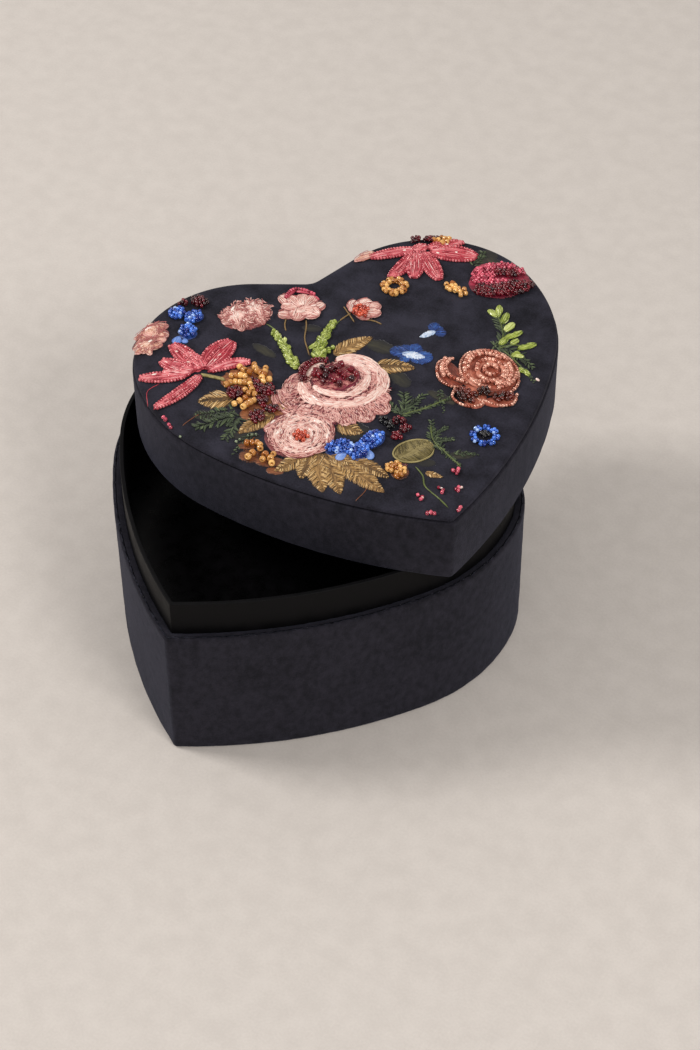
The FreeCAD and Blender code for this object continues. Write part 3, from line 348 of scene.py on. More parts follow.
def on_lid(points):
    """Points in the lid's own millimetres, tip towards -Y and height from its lower edge, set in place."""
    c, s = math.cos(math.radians(LID_TURN)), math.sin(math.radians(LID_TURN))
    x, y, z = points[..., 0], points[..., 1], points[..., 2]
    return np.stack([x * c - y * s + LID_X, x * s + y * c + LID_Y, z + lid_low], -1)


lid_profile = rounded([
    (2.95, 0.25, 0.1), (2.9, 0.05, 0.1), (0, 0, 1.0), (0, 12.0, 0.5), (0, 25.0, 1.0),
    (3.0, 24.95, 0.3), (3.0, 24.2, 0.1), (0.8, 24.2, 0.1), (0.8, 0.8, 0.1), (2.95, 0.8, 0.1)])
lid_rings = wrapped(lid_profile, 0.08, 11.0)
lid_suede = surface("lid_suede", on_lid(lid_rings), navy_suede, loop_u=True, loop_v=True)
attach(lid_suede, "lid")
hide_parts("lid_rim_fabric")


# ---- Padded velvet top
# A board with thin wadding is covered with printed velvet, drawn tight over its edge and glued to the
# deck. It is faintly crowned, with soft waves in it away from the edge.
EDGE_INSET = 0.5
border = outline(0.0)


def edge_distance(x, y):
    """Distance from the outline, inwards positive, in millimetres: to the nearest of its short runs."""
    p = np.stack([x, y], -1).reshape(-1, 1, 2)
    a, b = border, np.roll(border, -1, 0)
    run = b - a
    share = np.clip(((p - a) * run).sum(-1) / (run ** 2).sum(-1), 0, 1)
    near = np.hypot(*np.moveaxis(p - a - share[..., None] * run, -1, 0)).min(1)
    above = (a[:, 1] > p[..., 1]) != (b[:, 1] > p[..., 1])
    cross = a[:, 0] + (p[..., 1] - a[:, 1]) / (run[:, 1] + 1e-12) * run[:, 0]
    inside = (above & (p[..., 0] < cross)).sum(1) % 2 == 1
    return np.where(inside, near, -near).reshape(np.shape(x))


def crown(depth, x, y):
    """Height of the velvet at a depth from the edge: rises steeply at the edge, then ever more gently."""
    inside = np.maximum(depth, EDGE_INSET) - EDGE_INSET
    rise = 27.5 - 0.45 * np.exp(-inside / 9) - 1.3 * np.exp(-inside / 0.3)
    flat = np.stack([x, y, 0 * x], -1)
    slack = np.clip(depth / 6, 0, 1)
    wave = unevenness(flat, 34.0) * 0.16 + unevenness(flat, 13.0) * 0.07
    return rise + wave * slack - np.clip(EDGE_INSET - depth, 0, 4) * 0.9


map_step = 0.5
map_x = np.arange(-80, 80.1, map_step)
map_far = np.concatenate([edge_distance(*np.meshgrid(map_x, row, indexing="ij"))
                          for row in np.array_split(map_x, 16)], 1)
map_high = crown(map_far, *np.meshgrid(map_x, map_x, indexing="ij"))


def velvet_top(x, y):
    """Height of the velvet at any point: the height map read between its four nearest points."""
    u = np.clip((x + 80) / map_step, 0, len(map_x) - 1.001)
    v = np.clip((y + 80) / map_step, 0, len(map_x) - 1.001)
    i, j = u.astype(int), v.astype(int)
    a, b = u - i, v - j
    return ((map_high[i, j] * (1 - b) + map_high[i, j + 1] * b) * (1 - a)
            + (map_high[i + 1, j] * (1 - b) + map_high[i + 1, j + 1] * b) * a)


depths = EDGE_INSET + np.array([0.0, 0.03, 0.07, 0.13, 0.2, 0.3, 0.42, 0.6, 0.85, 1.3, 2.0, 3.0, 4.4])
rims = np.stack([outline(d) for d in depths])
rim_heights = crown(depths[:, None] + 0 * rims[..., 0], rims[..., 0], rims[..., 1])
top_rims = np.concatenate([rims, rim_heights[..., None]], -1)
under = [np.column_stack([outline(d), np.full(len(border), z)])
         for d, z in ((6.0, 25.02), (2.0, 25.02), (1.35, 25.05), (1.1, 25.2), (0.8, 25.42))]
shares = np.linspace(1, 0, 34)[1:, None, None]
heart_middle = np.array([0.0, 8.0])
inner = heart_middle + (rims[-1] - heart_middle) * shares
inner = np.concatenate([inner, velvet_top(inner[..., 0], inner[..., 1])[..., None]], -1)
bottom_cap = np.repeat(np.array([[[0.0, 8.0, 25.02]]]), len(border), 1)
pad_grid = np.concatenate([bottom_cap, np.stack(under), top_rims, inner])


def velvet(name):
    """Short-pile velvet: almost black navy, bloomed where the pile leans, with a fine fleck."""
    made, tree, face = shaded(name, Roughness=0.92, IOR=1.45, Specular_IOR_Level=0.2,
                              Sheen_Weight=0.16, Sheen_Roughness=0.4, Sheen_Tint=linear("#a4a6b8"))
    place = add(tree, "TexCoord").outputs["Object"]
    pile = add(tree, "TexNoise", {"Scale": 1700.0, "Detail": 4.0, "Roughness": 0.7}, {"Vector": place})
    lean = add(tree, "TexNoise", {"Scale": 110.0, "Detail": 4.0}, {"Vector": place})
    blend = add(tree, "Math", {"operation": "MULTIPLY_ADD", 1: 0.6},
                {0: pile.outputs[0], 2: lean.outputs[0]})
    share = add(tree, "MapRange", {1: 0.6, 2: 1.0}, {0: blend.outputs[0]})
    tint = add(tree, "Mix", {"data_type": "RGBA", 6: linear("#15141b"), 7: linear("#302f3a")},
               {0: share.outputs[0]})
    bump = add(tree, "Bump", {"Distance": 0.0002, "Strength": 0.7}, {"Height": pile.outputs[0]})
    tree.links.new(face.inputs["Base Color"], tint.outputs[2])
    tree.links.new(face.inputs["Normal"], bump.outputs[0])
    return made


printed_velvet = velvet("short pile velvet")
velvet_pad = surface("velvet_pad", on_lid(pad_grid), printed_velvet, loop_v=True, flip=True)
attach(velvet_pad, "lid")
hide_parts("lid_top_fabric", "lid_wadding")


# ---- Stitched leaves
# Gold-green leaves in long single stitches of floss that slant forward from a middle vein over a
# thin ground. Their ends run past the ground and leave the outline toothed.
def bowed(rows, s):
    """Points and sideways directions of quadratic middle lines, from foot to tip, bowed to the left."""
    foot, tip = rows[:, None, 0:2], rows[:, None, 2:4]
    way = tip - foot
    left = np.stack([-way[..., 1], way[..., 0]], -1) / np.hypot(way[..., 0], way[..., 1])[..., None]
    bend = (foot + tip) / 2 + left * rows[:, None, 5:6] * 2
    line = (1 - s) ** 2 * foot + 2 * s * (1 - s) * bend + s ** 2 * tip
    slope = 2 * (1 - s) * (bend - foot) + 2 * s * (tip - bend)
    slope = slope / np.hypot(slope[..., 0], slope[..., 1])[..., None]
    return line, np.stack([-slope[..., 1], slope[..., 0]], -1)


def eight(rows):
    """Rows filled up to foot x, foot y, tip x, tip y, width, bow, lift at the foot, lift at the tip."""
    full = []
    for row in rows:
        row = list(row) + [0.0] * (7 - len(row))
        full.append(row + [row[6]] * (8 - len(row)))
    return np.array(full, float)


def petals(name, rows, material, thick=0.5, widest=0.9, blunt=0.6, toothed=0.0, ruffle=0.0, lift=0.0,
           along=26, around=14, seed=1):
    """Closed petals from rows of foot, tip, width, bow and lift, in millimetres.

    The half width along the middle line is w/2 * sin(pi * s^widest)^blunt, and round each section the
    point is cos(a) across and sin(a) up, flattened below. Ruffle waves the edges, toothed breaks them.
    """
    rows = eight(rows)
    rng = np.random.default_rng(seed)
    s = np.linspace(0, 1, along)[None, :, None]
    a = np.linspace(0, 2 * math.pi, around, endpoint=False)[None, None, :]
    length = np.hypot(rows[:, 2] - rows[:, 0], rows[:, 3] - rows[:, 1])[:, None, None]
    line, side = bowed(rows, s)
    full = np.sin(math.pi * s ** widest).clip(0, 1) ** blunt
    teeth = rng.uniform(-1, 1, (2, len(rows), along, 1)) * toothed
    cut = 1 + np.where(np.cos(a) > 0, teeth[0], teeth[1])
    across = rows[:, 4, None, None] / 2 * full * cut * np.cos(a)
    wave = 1 + np.sin(s * length * 1.5 + rng.uniform(0, 6, (len(rows), 1, 1)))
    up = np.where(np.sin(a) > 0, np.sin(a) * thick, np.sin(a) * 0.12) * full ** 0.5
    up = up + ruffle * wave * np.cos(a) ** 2 * full
    flat = line[:, :, None] + side[:, :, None] * across[..., None]
    rise = rows[:, 6, None, None] * (1 - s) + rows[:, 7, None, None] * s
    high = velvet_top(flat[..., 0], flat[..., 1]) + up + rise + lift
    grid = np.concatenate([flat, high[..., None]], -1)
    uv = np.stack([s * length + 0 * across, across], -1) + rng.uniform(0, 90, (len(rows), 1, 1, 1)) * (1, 0)
    # A mark of 1 along the sides and ends of each petal, where the floss material darkens it as painted shade.
    rim_shade = np.maximum(np.abs(np.cos(a)) ** 5 + 0 * s, np.abs(2 * s - 1) ** 9)
    piece = surface(name, on_lid(grid), material, loop_v=True, uv=uv,
                    marks={"tone": rng.uniform(0, 1, (len(rows), 1, 1)), "rim_shade": rim_shade})
    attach(piece, "lid")
    return piece


def stitches(rows, pitch, slant=0.5, width=0.45, height=0.4, whole=False, seed=0, widest=0.9, blunt=0.6):
    """Rows of single stitches over petals, a pitch apart in millimetres.

    From the middle line they slant forward to each edge and a little past it; whole ones go from
    one edge to the other instead.
    """
    rng = np.random.default_rng(seed)
    made = []
    for row in eight(rows):
        length = math.hypot(row[2] - row[0], row[3] - row[1])
        n = max(int(length / pitch), 2)
        s = np.linspace(0.04, 0.93, n) + rng.normal(0, 0.25 / n, n)
        s = s.clip(0.02, 0.98)[None, :, None]
        line, side = bowed(row[None], s)
        reach = (s + slant * row[4] / 2 / length * (1 - s)).clip(0, 0.99)
        ahead, side_ahead = bowed(row[None], reach)
        half = row[4] / 2 * np.sin(math.pi * s ** widest).clip(0, 1) ** blunt
        half_ahead = row[4] / 2 * np.sin(math.pi * reach ** widest).clip(0, 1) ** blunt
        for way in ((1,) if whole else (1, -1)):
            past = rng.uniform(0.9, 1.14, s.shape)
            inner = -past if whole else rng.uniform(0.0, 0.3, s.shape)
            foot = line + side * half * inner * way
            tip = ahead + side_ahead * half_ahead * past * way
            rise = row[6] + height
            made.append(np.column_stack([
                foot[0], tip[0], np.full(n, width) * rng.uniform(0.8, 1.3, n), rng.normal(0, 0.12, n),
                np.full(n, rise * (0.15 if whole else 1)), np.full(n, row[6] + 0.1)]))
    return np.vstack(made)


def bundles(rows, count, pieces=2, first=-0.95, last=0.95, width=0.44, height=0.45, seed=0, widest=1.0, blunt=0.5):
    """Rows of long stitches along petals: so many threads over the width, each in pieces with uneven ends.

    A thread keeps its share of the half width all along, and the threads stand higher towards the middle.
    """
    rng = np.random.default_rng(seed)
    made = []
    n = count * pieces
    for row in eight(rows):
        share = np.repeat(np.linspace(first, last, count), pieces) + rng.normal(0, 0.03, n)
        start = ((np.tile(np.arange(pieces), count) + rng.uniform(-0.35, 0.15, n)) / pieces).clip(0.02, 0.9)
        end = (start + rng.uniform(0.9, 1.5, n) / pieces).clip(0.1, 0.98)
        ends = []
        for s in (start, (start + end) / 2, end):
            line, side = bowed(row[None], s[None, :, None])
            half = row[4] / 2 * np.sin(math.pi * s ** widest).clip(0, 1) ** blunt
            ends.append(line[0] + side[0] * (half * share)[:, None])
        foot, middle, tip = ends
        way = tip - foot
        left = np.stack([-way[:, 1], way[:, 0]], -1) / np.hypot(way[:, 0], way[:, 1])[:, None]
        bow = ((middle - (foot + tip) / 2) * left).sum(1)
        rise = row[6] + height * np.sqrt(1 - 0.9 * share ** 2)
        made.append(np.column_stack([foot, tip, width * rng.uniform(0.7, 1.35, n), bow, rise, rise]))
    return np.vstack(made)


def sewn(name, rows, material, seed=0, thick=0.28, lift=0.0, along=6):
    """Single stitches: short thin petals of few faces."""
    return petals(name, rows, material, thick=thick, widest=1.0, blunt=0.35, lift=lift, along=along, around=5,
                  seed=seed)


def thread_silk(name, shade, body, shine, lay="along", thread=0.5, relief=0.16, rough=0.42, rim_shade=0.25, **shader):
    """Silk floss: fine ridges, a thread apart in millimetres, with lights and shadows between them.

    The ridges are noise drawn out along the thread. Laid along a petal they follow its length, and
    across they follow its width. The rim is darkened as painted shade where the floss turns down.
    """
    made, tree, face = shaded(name, Roughness=rough, IOR=1.5, Specular_IOR_Level=0.5,
                              Sheen_Weight=0.12, Sheen_Roughness=0.35, **shader)
    parts = add(tree, "SeparateXYZ", {}, {0: add(tree, "TexCoord").outputs["UV"]})
    pick = (0, 1) if lay == "along" else (1, 0)
    run = add(tree, "CombineXYZ", {}, {0: parts.outputs[pick[0]], 1: parts.outputs[pick[1]]})
    drawn = add(tree, "Mapping", {"Scale": (0.2, 1.0, 1.0)}, {"Vector": run.outputs[0]}).outputs[0]
    ridges = add(tree, "TexNoise", {"Scale": 1 / thread, "Detail": 3.0, "Roughness": 0.65}, {"Vector": drawn})
    broad = add(tree, "TexNoise", {"Scale": 0.3, "Detail": 2.0}, {"Vector": drawn})
    tone = add(tree, "Attribute", {"attribute_name": "tone"}).outputs["Fac"]
    shaded_rim = add(tree, "Attribute", {"attribute_name": "rim_shade"}).outputs["Fac"]
    mixed = add(tree, "Math", {"operation": "MULTIPLY_ADD", 1: 0.35}, {0: tone, 2: ridges.outputs[0]})
    mixed = add(tree, "Math", {"operation": "MULTIPLY_ADD", 1: 0.6}, {0: broad.outputs[0], 2: mixed.outputs[0]})
    # Painted shade: the floss is darkened along the rim of each petal and stitch.
    mixed = add(tree, "Math", {"operation": "MULTIPLY_ADD", 1: -rim_shade}, {0: shaded_rim, 2: mixed.outputs[0]})
    share = add(tree, "MapRange", {1: 0.66, 2: 1.26}, {0: mixed.outputs[0]})
    ramp = add(tree, "ValToRGB", {}, {0: share.outputs[0]})
    ramp.color_ramp.elements[0].color = linear(shade)
    ramp.color_ramp.elements[1].color = linear(shine)
    ramp.color_ramp.elements.new(0.5).color = linear(body)
    bump = add(tree, "Bump", {"Distance": relief / 1000, "Strength": 1.0}, {"Height": ridges.outputs[0]})
    tree.links.new(face.inputs["Base Color"], ramp.outputs[0])
    tree.links.new(face.inputs["Normal"], bump.outputs[0])
    return made


# Prints of darker leaves show on the velvet between the needlework.
olive_print = thread_silk("olive print on velvet", "#1c1b1e", "#292722", "#3d3a2c", thread=1.4, relief=0.02,
                          rough=0.9, rim_shade=0.5)
print_rows = [(6, 21, 13, 13, 7, 0), (8, 4, 11, -6, 6, 0), (-19, -14, -10, -25, 9, 0), (-31, 35, -26, 25, 4, 0),
              (58, 46, 68, 50, 9, 1), (62, 52, 66, 42, 5, 0), (-54, -6, -44, -11, 4, 0), (16, -10, 22, -20, 4, 0),
              (-12, 37, -6, 33, 4, 0), (-1, -41, 5, -44, 4, 0), (10, -42, 19, -45, 4, 0), (-62, 8, -55, 5, 5, 0)]
petals("velvet_print", print_rows, olive_print, thick=0.07, widest=1.0, blunt=0.5, toothed=0.12, seed=31)
gold_green = thread_silk("gold green silk floss", "#2a1c0c", "#6e4f29", "#ae8650")
gold_light = thread_silk("light gold silk floss", "#7c5a2a", "#c69c60", "#ffe4ae", rough=0.34)
leaf_rows = [
    (-46, 10.5, -58.5, 13.5, 9.5, 0), (-36, -2, -51, -6.5, 7, -0.5), (-34, -1, -30, 3, 4, 0),
    (-7, 18.5, 9, 22.5, 7, 0.8), (2.5, 8, 16.5, 1.8, 7.5, 0.8), (-18, -14, -12, -21.5, 7, -0.5)]
fan_rows = [
    (-33, -24, -46, -28.0, 6.5, 0.4), (-32, -25, -39, -34.5, 7, 0), (-29, -25, -34.5, -43, 8.5, -0.6),
    (-27.5, -26, -29.5, -46, 8, 0), (-25, -27, -22, -42, 9, 0.6), (-24, -28, -15.8, -50.5, 8.5, -0.8),
    (-22, -31, -12, -45.0, 6.5, 0.6), (-27, -28, -19.5, -35, 7, 0), (0, -46.8, 4.5, -51, 2.6, 0)]
petals("gold_leaves", leaf_rows + fan_rows, gold_green, thick=0.3, widest=0.8, blunt=0.75, toothed=0.1,
       lift=0.08, along=40, seed=3)
sewn("gold_leaf_stitches", stitches(leaf_rows + fan_rows, 0.62, slant=1.1, widest=0.8, blunt=0.75, height=0.3,
                                    width=0.5, seed=1), gold_light, seed=32)
sewn("gold_leaf_shadows", stitches(leaf_rows + fan_rows, 1.3, slant=1.2, widest=0.8, blunt=0.75, height=0.38,
                                   width=0.35, seed=2), gold_green, seed=33)
oval = [(-6.8, -37.6, 7.6, -34.6, 10.3, 0, 0.1)]
vein_green = thread_silk("olive silk floss", "#2f270f", "#665a30", "#97885a")
olive_light = thread_silk("light olive silk floss", "#6f6136", "#a3955f", "#ddd19c")
petals("oval_leaf", oval, vein_green, thick=0.4, widest=1.0, blunt=0.5, along=60, seed=4)
sewn("oval_leaf_stitches", stitches(oval, 0.75, slant=0.5, widest=1.0, blunt=0.5, height=0.4, seed=3),
     vein_green, seed=34)


# ---- Beads
# Pressed and drawn glass seed beads, 1 to 2.3 mm across, strung on thread and couched down so that
# they lie on their sides.
def smooth_path(points, spacing):
    """Places a spacing apart along a curve through the points: x, y and heading in radians.

    Between neighbouring points the curve is the cubic with slopes along its outer neighbours.
    """
    p = np.array(points, float)
    p = np.vstack([2 * p[0] - p[1], p, 2 * p[-1] - p[-2]])
    t = np.linspace(0, 1, 24, endpoint=False)[None, :, None]
    a, b, c, d = (p[i:len(p) - 3 + i, None] for i in range(4))
    curve = 0.5 * (2 * b + (c - a) * t + (2 * a - 5 * b + 4 * c - d) * t ** 2
                   + (3 * b - a - 3 * c + d) * t ** 3)
    curve = np.vstack([curve.reshape(-1, 2), p[-2]])
    gone = np.concatenate([[0], np.cumsum(np.hypot(*np.diff(curve, axis=0).T))])
    count = max(int(round(gone[-1] / spacing)), 1)
    at = np.linspace(0, gone[-1], count + 1)
    x, y = np.interp(at, gone, curve[:, 0]), np.interp(at, gone, curve[:, 1])
    return np.column_stack([x, y, np.arctan2(np.gradient(y), np.gradient(x))])


def strings(paths, spacing, lift=0.0):
    """Bead places along several paths: x, y, heading and lift."""
    rows = [smooth_path(p, spacing) for p in paths]
    return np.vstack([np.column_stack([r, np.full(len(r), lift)]) for r in rows])


def sown(cx, cy, rx, ry, turn, spacing, lift=0.0, seed=0):
    """Bead places over an ellipse: a jittered triangular net, each bead turned its own way."""
    rng = np.random.default_rng(seed)
    n = int(max(rx, ry) / spacing) + 2
    i, j = np.meshgrid(np.arange(-n, n + 1), np.arange(-n, n + 1))
    x, y = (i + 0.5 * (j % 2)) * spacing, j * spacing * 0.87
    x = x + rng.uniform(-0.17, 0.17, x.shape) * spacing
    y = y + rng.uniform(-0.17, 0.17, y.shape) * spacing
    keep = (x / rx) ** 2 + (y / ry) ** 2 < 1
    x, y = x[keep], y[keep]
    c, s = math.cos(math.radians(turn)), math.sin(math.radians(turn))
    bulge = 1 - (x / rx) ** 2 - (y / ry) ** 2
    return np.column_stack([cx + x * c - y * s, cy + x * s + y * c, rng.uniform(0, math.pi, len(x)),
                            lift + 0.35 * bulge])


def placed(points, lift, seed=0):
    """Bead places at single points, each bead turned its own way."""
    p = np.array(points, float)
    turn = np.random.default_rng(seed).uniform(0, math.pi, len(p))
    return np.column_stack([p, turn, np.full(len(p), lift)])


def beads(name, spots, outer, length, material, seed=0, hole=0.36, around=9, across=6):
    """Seed beads lying at spots of x, y, heading and lift, in millimetres.

    Each is a ring: round its wall the radius is mean + half * cos(b) and the place along its hole is
    length/2 * sin(b), both drawn a little square.
    """
    rng = np.random.default_rng(seed + 50)
    k = len(spots)
    size = rng.uniform(0.88, 1.1, (k, 1, 1))
    a = np.linspace(0, 2 * math.pi, around, endpoint=False)[None, :, None]
    b = np.linspace(0, 2 * math.pi, across, endpoint=False)[None, None, :]
    wall = outer / 2 * (1 - hole) / 2
    radius = (outer / 2 - wall + wall * np.sign(np.cos(b)) * np.abs(np.cos(b)) ** 0.8) * size
    far = length / 2 * np.sign(np.sin(b)) * np.abs(np.sin(b)) ** 0.9 * size
    head = spots[:, 2] + rng.normal(0, 0.12, k)
    tip = rng.normal(0, 0.16, k)
    axis = np.stack([np.cos(head) * np.cos(tip), np.sin(head) * np.cos(tip), np.sin(tip)], -1)
    side = np.stack([-np.sin(head), np.cos(head), 0 * head], -1)
    top = np.cross(axis, side)
    high = velvet_top(spots[:, 0], spots[:, 1]) + spots[:, 3] + outer * 0.46
    centre = np.column_stack([spots[:, 0], spots[:, 1], high])
    grid = (centre[:, None, None] + axis[:, None, None] * (far + 0 * a)[..., None]
            + side[:, None, None] * (radius * np.cos(a))[..., None]
            + top[:, None, None] * (radius * np.sin(a))[..., None])
    piece = surface(name, on_lid(grid), material, loop_u=True, loop_v=True,
                    marks={"tone": rng.uniform(0, 1, (k, 1, 1))})
    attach(piece, "lid")
    return piece


def bead_glass(name, dark, light, rough=0.1, silver_glint_share=0.0, **shader):
    """Bead glass: coloured through and fire-polished, each bead a little lighter or darker.

    A share of the beads is coloured pale blue-white: silver-lined, and standing for sparkle as painted glints.
    """
    made, tree, face = shaded(name, Roughness=rough, IOR=1.55, Specular_IOR_Level=0.45,
                              Coat_Weight=0.4, Coat_Roughness=0.02, **shader)
    tone = add(tree, "Attribute", {"attribute_name": "tone"}).outputs["Fac"]
    place = add(tree, "TexCoord").outputs["Object"]
    cords = add(tree, "TexNoise", {"Scale": 700.0, "Detail": 2.0}, {"Vector": place})
    share = add(tree, "Math", {"operation": "MULTIPLY_ADD", 1: 1.1, 2: -0.42}, {0: tone})
    share = add(tree, "Math", {"operation": "MULTIPLY_ADD", 1: 0.8, "use_clamp": True},
                {0: cords.outputs[0], 2: share.outputs[0]})
    tint = add(tree, "Mix", {"data_type": "RGBA", 6: linear(dark), 7: linear(light)}, {0: share.outputs[0]})
    # Painted glints: the chosen share of beads takes a pale blue-white colour.
    silver_glints = add(tree, "Math", {"operation": "GREATER_THAN", 1: 1 - silver_glint_share}, {0: tone})
    tint = add(tree, "Mix", {"data_type": "RGBA", 7: linear("#a9c8ff")}, {0: silver_glints.outputs[0], 6: tint.outputs[2]})
    bump = add(tree, "Bump", {"Distance": 0.00004, "Strength": 1.0}, {"Height": cords.outputs[0]})
    tree.links.new(face.inputs["Base Color"], tint.outputs[2])
    tree.links.new(face.inputs["Normal"], bump.outputs[0])
    return made


gold_glass = bead_glass("amber gold bead glass", "#a8611f", "#ffc878")
wine_glass = bead_glass("wine red bead glass", "#2a030b", "#7c0e20", rough=0.05)
black_glass = bead_glass("black bead glass", "#040405", "#151418", rough=0.06)
# About one blue bead in eleven is painted pale as the glint of a silver-lined bead.
blue_glass = bead_glass("royal blue bead glass", "#06227e", "#5c94ff", silver_glint_share=0.09)
salmon_glass = bead_glass("salmon lined bead glass", "#a8523c", "#ffc4ac", Metallic=0.25)
brown_glass = bead_glass("brown red bead glass", "#240803", "#6f2416", rough=0.06)
coral_glass = bead_glass("coral lined bead glass", "#ac2d40", "#ee8489")
scarlet_glass = bead_glass("red lined bead glass", "#8e1c12", "#ea6a4c")
rose_glass = bead_glass("rose lined bead glass", "#8a1230", "#ee6a80")
pale_green_glass = bead_glass("pale green bead glass", "#5f6b52", "#98a585")
pearl = bead_glass("pearl lined glass", "#f2c9c0", "#fff6ec", rough=0.15)
lime_glass = bead_glass("lime lined bead glass", "#8c9a38", "#e6ee9a", rough=0.15)


# ---- Berries
# Clumps of amber beads on rust-brown stitches, with wine-red ones let in between, on stitched stalks.
rust_silk = thread_silk("rust silk floss", "#331a0f", "#7c472a", "#a96a40")
berry_ground = [
    (-48, 19, -30, 17, 11, 1.0), (-46, 8, -34, 8, 10, 0), (-40, 9, -33, -4, 9, 0), (-47, 3, -37, -4, 7, 0),
    (-35, 4, -30, -2, 5, 0), (-53, -12, -45, -14, 4, 0), (-54, -16, -46, -21, 6, 0), (-50, -21, -41, -25, 5, 0),
    (-48, -26, -43, -29.5, 3.4, 0), (-11, -43, -4.5, -43, 8, 0)]
petals("berry_ground", berry_ground, rust_silk, thick=0.25, blunt=0.4, toothed=0.12, seed=7)
gold_spots = strings([
    [(-46.8, 17), (-44.6, 17.6), (-42.5, 16.6), (-40.7, 15.6)], [(-43.8, 20.6), (-41.2, 19.8), (-39.6, 18.6)],
    [(-39.6, 23.8), (-38.8, 21.6), (-37.4, 20)], [(-34.6, 23), (-35, 20.4), (-34, 18.2)],
    [(-31.6, 19.8), (-33, 17.4), (-34.4, 15.8)], [(-34.6, 13.8), (-32.4, 14)],
    [(-39, 15.8), (-39.4, 13.4), (-39.6, 11.2)], [(-41.8, 12), (-41, 9.4), (-39.6, 8.6)],
    [(-47.6, 6.6), (-45.4, 7.4), (-43.2, 8)], [(-45.2, 4.2), (-43, 5.2), (-40.8, 5.8)],
    [(-50, -13), (-48, -13.6), (-46.2, -14.6), (-46.8, -17)], [(-51.8, -19.2), (-49.8, -18)],
    [(-47.8, -22.2), (-46.2, -20.4)], [(-45.6, -25), (-45.2, -22.8), (-43.6, -21.2)]], 1.85, 0.3)
beads("gold_berry_beads", gold_spots, 2.25, 1.65, gold_glass, seed=1, hole=0.3, around=12, across=8)
wine_spots = np.vstack([
    sown(-45.3, 12.6, 2.9, 3.2, 0, 1.3, 0.2, 2), sown(-37, 12.5, 1.6, 5.4, 8, 1.3, 0.3, 3),
    sown(-34, 9.5, 2.2, 3.0, 0, 1.35, 0.3, 4), sown(-38.5, 4.5, 2.2, 3.2, -20, 1.35, 0.4, 5),
    sown(-37, 0.2, 3.0, 1.4, 5, 1.35, 0.3, 6), sown(-42.3, -1.6, 2.5, 3.0, 0, 1.35, 0.3, 7),
    sown(-46.8, 64.2, 1.5, 1.5, 0, 1.35, 0.3, 8), sown(-41.0, 62.6, 2.5, 3.5, 20, 1.35, 0.4, 9),
    sown(43.2, 67.0, 2.4, 1.9, 0, 1.35, 0.5, 10), sown(48.4, 65.8, 2.6, 1.7, -20, 1.35, 0.5, 11),
    sown(0.6, -21.0, 2.6, 2.4, 0, 1.45, 0.3, 12), sown(1.4, -25.7, 1.9, 2.1, 0, 1.45, 0.3, 13),
    sown(-2.4, -27.9, 1.6, 2.4, 0, 1.45, 0.3, 14), placed([(-6.1, -42.3), (-5.2, -42.5)], 0.5)])
beads("wine_berry_beads", wine_spots, 1.5, 1.15, wine_glass, seed=2)
black_spots = np.vstack([sown(-4.1, -18.6, 1.5, 1.5, 0, 1.45, 0.3, 16), sown(-2.8, -22.2, 1.4, 2.2, 0, 1.45, 0.3, 17),
                         placed([(24.2, -37.2), (25.6, -37.2), (24.6, -38.8), (26, -38.6), (25, -38)], 0.3)])
beads("black_beads", black_spots, 1.7, 1.3, black_glass, seed=3)


# ---- Satin stitch roses
# Two pale pink roses in long and short stitch. Textured petals spread below, brighter satin petals
# curve round a cup, and strips of pearl catch the light. The larger cup is deep rose with wine-red
# beads, and the smaller has a knot of red ones.
def rose_ring(cx, cy, rx, ry, count, span, width, start=0, lift=0.0, seed=0):
    """Rows for an uneven ring of petals that lie along an ellipse, each spanning so many degrees."""
    rng = np.random.default_rng(seed + 70)
    at = np.radians(start + (np.arange(count) + rng.uniform(-0.14, 0.14, count)) * 360 / count)
    half = math.radians(span / 2)
    far = rng.uniform(0.93, 1.07, count)
    x0, y0 = cx + far * rx * np.cos(at - half), cy + far * ry * np.sin(at - half)
    x1, y1 = cx + far * rx * np.cos(at + half), cy + far * ry * np.sin(at + half)
    bow = -(rx + ry) / 2 * (1 - math.cos(half)) + 0 * at
    wide = width * rng.uniform(0.85, 1.15, count)
    return np.column_stack([x0, y0, x1, y1, wide, bow, lift + 0 * at]).tolist()


def strewn(cx, cy, rx, ry, pitch, length, lay="out", eye=None, width=0.34, lift=0.4, seed=0):
    """Rows of single stitches over an ellipse, laid out from its eye, round it, or any way."""
    rng = np.random.default_rng(seed + 90)
    count = int(math.pi * rx * ry / pitch ** 2)
    far = np.sqrt(rng.uniform(0, 1, count))
    at = rng.uniform(0, 2 * math.pi, count)
    x, y = cx + rx * far * np.cos(at), cy + ry * far * np.sin(at)
    eye = (cx, cy) if eye is None else eye
    turn = np.arctan2(y - eye[1], x - eye[0]) + {"out": 0.0, "round": math.pi / 2, "any": at * 3}[lay]
    turn = turn + rng.normal(0, 0.28, count)
    size = length * rng.uniform(0.6, 1.3, count) / 2
    dx, dy = size * np.cos(turn), size * np.sin(turn)
    rise = lift + rng.uniform(0, 0.15, count)
    return np.column_stack([x - dx, y - dy, x + dx, y + dy, width * rng.uniform(0.7, 1.3, count),
                            rng.normal(0, 0.08, count), rise, rise])


def edge_lines(rows, shares, first=0.1, last=0.95, blunt=0.6):
    """Paths along petals: for each share of the half width, the line from near the foot to the tip."""
    s = np.linspace(first, last, 9)[None, :, None]
    rows = eight(rows)
    line, side = bowed(rows, s)
    half = rows[:, 4, None, None] / 2 * np.sin(math.pi * s) ** blunt
    return [p for share in shares for p in line + side * half * share]


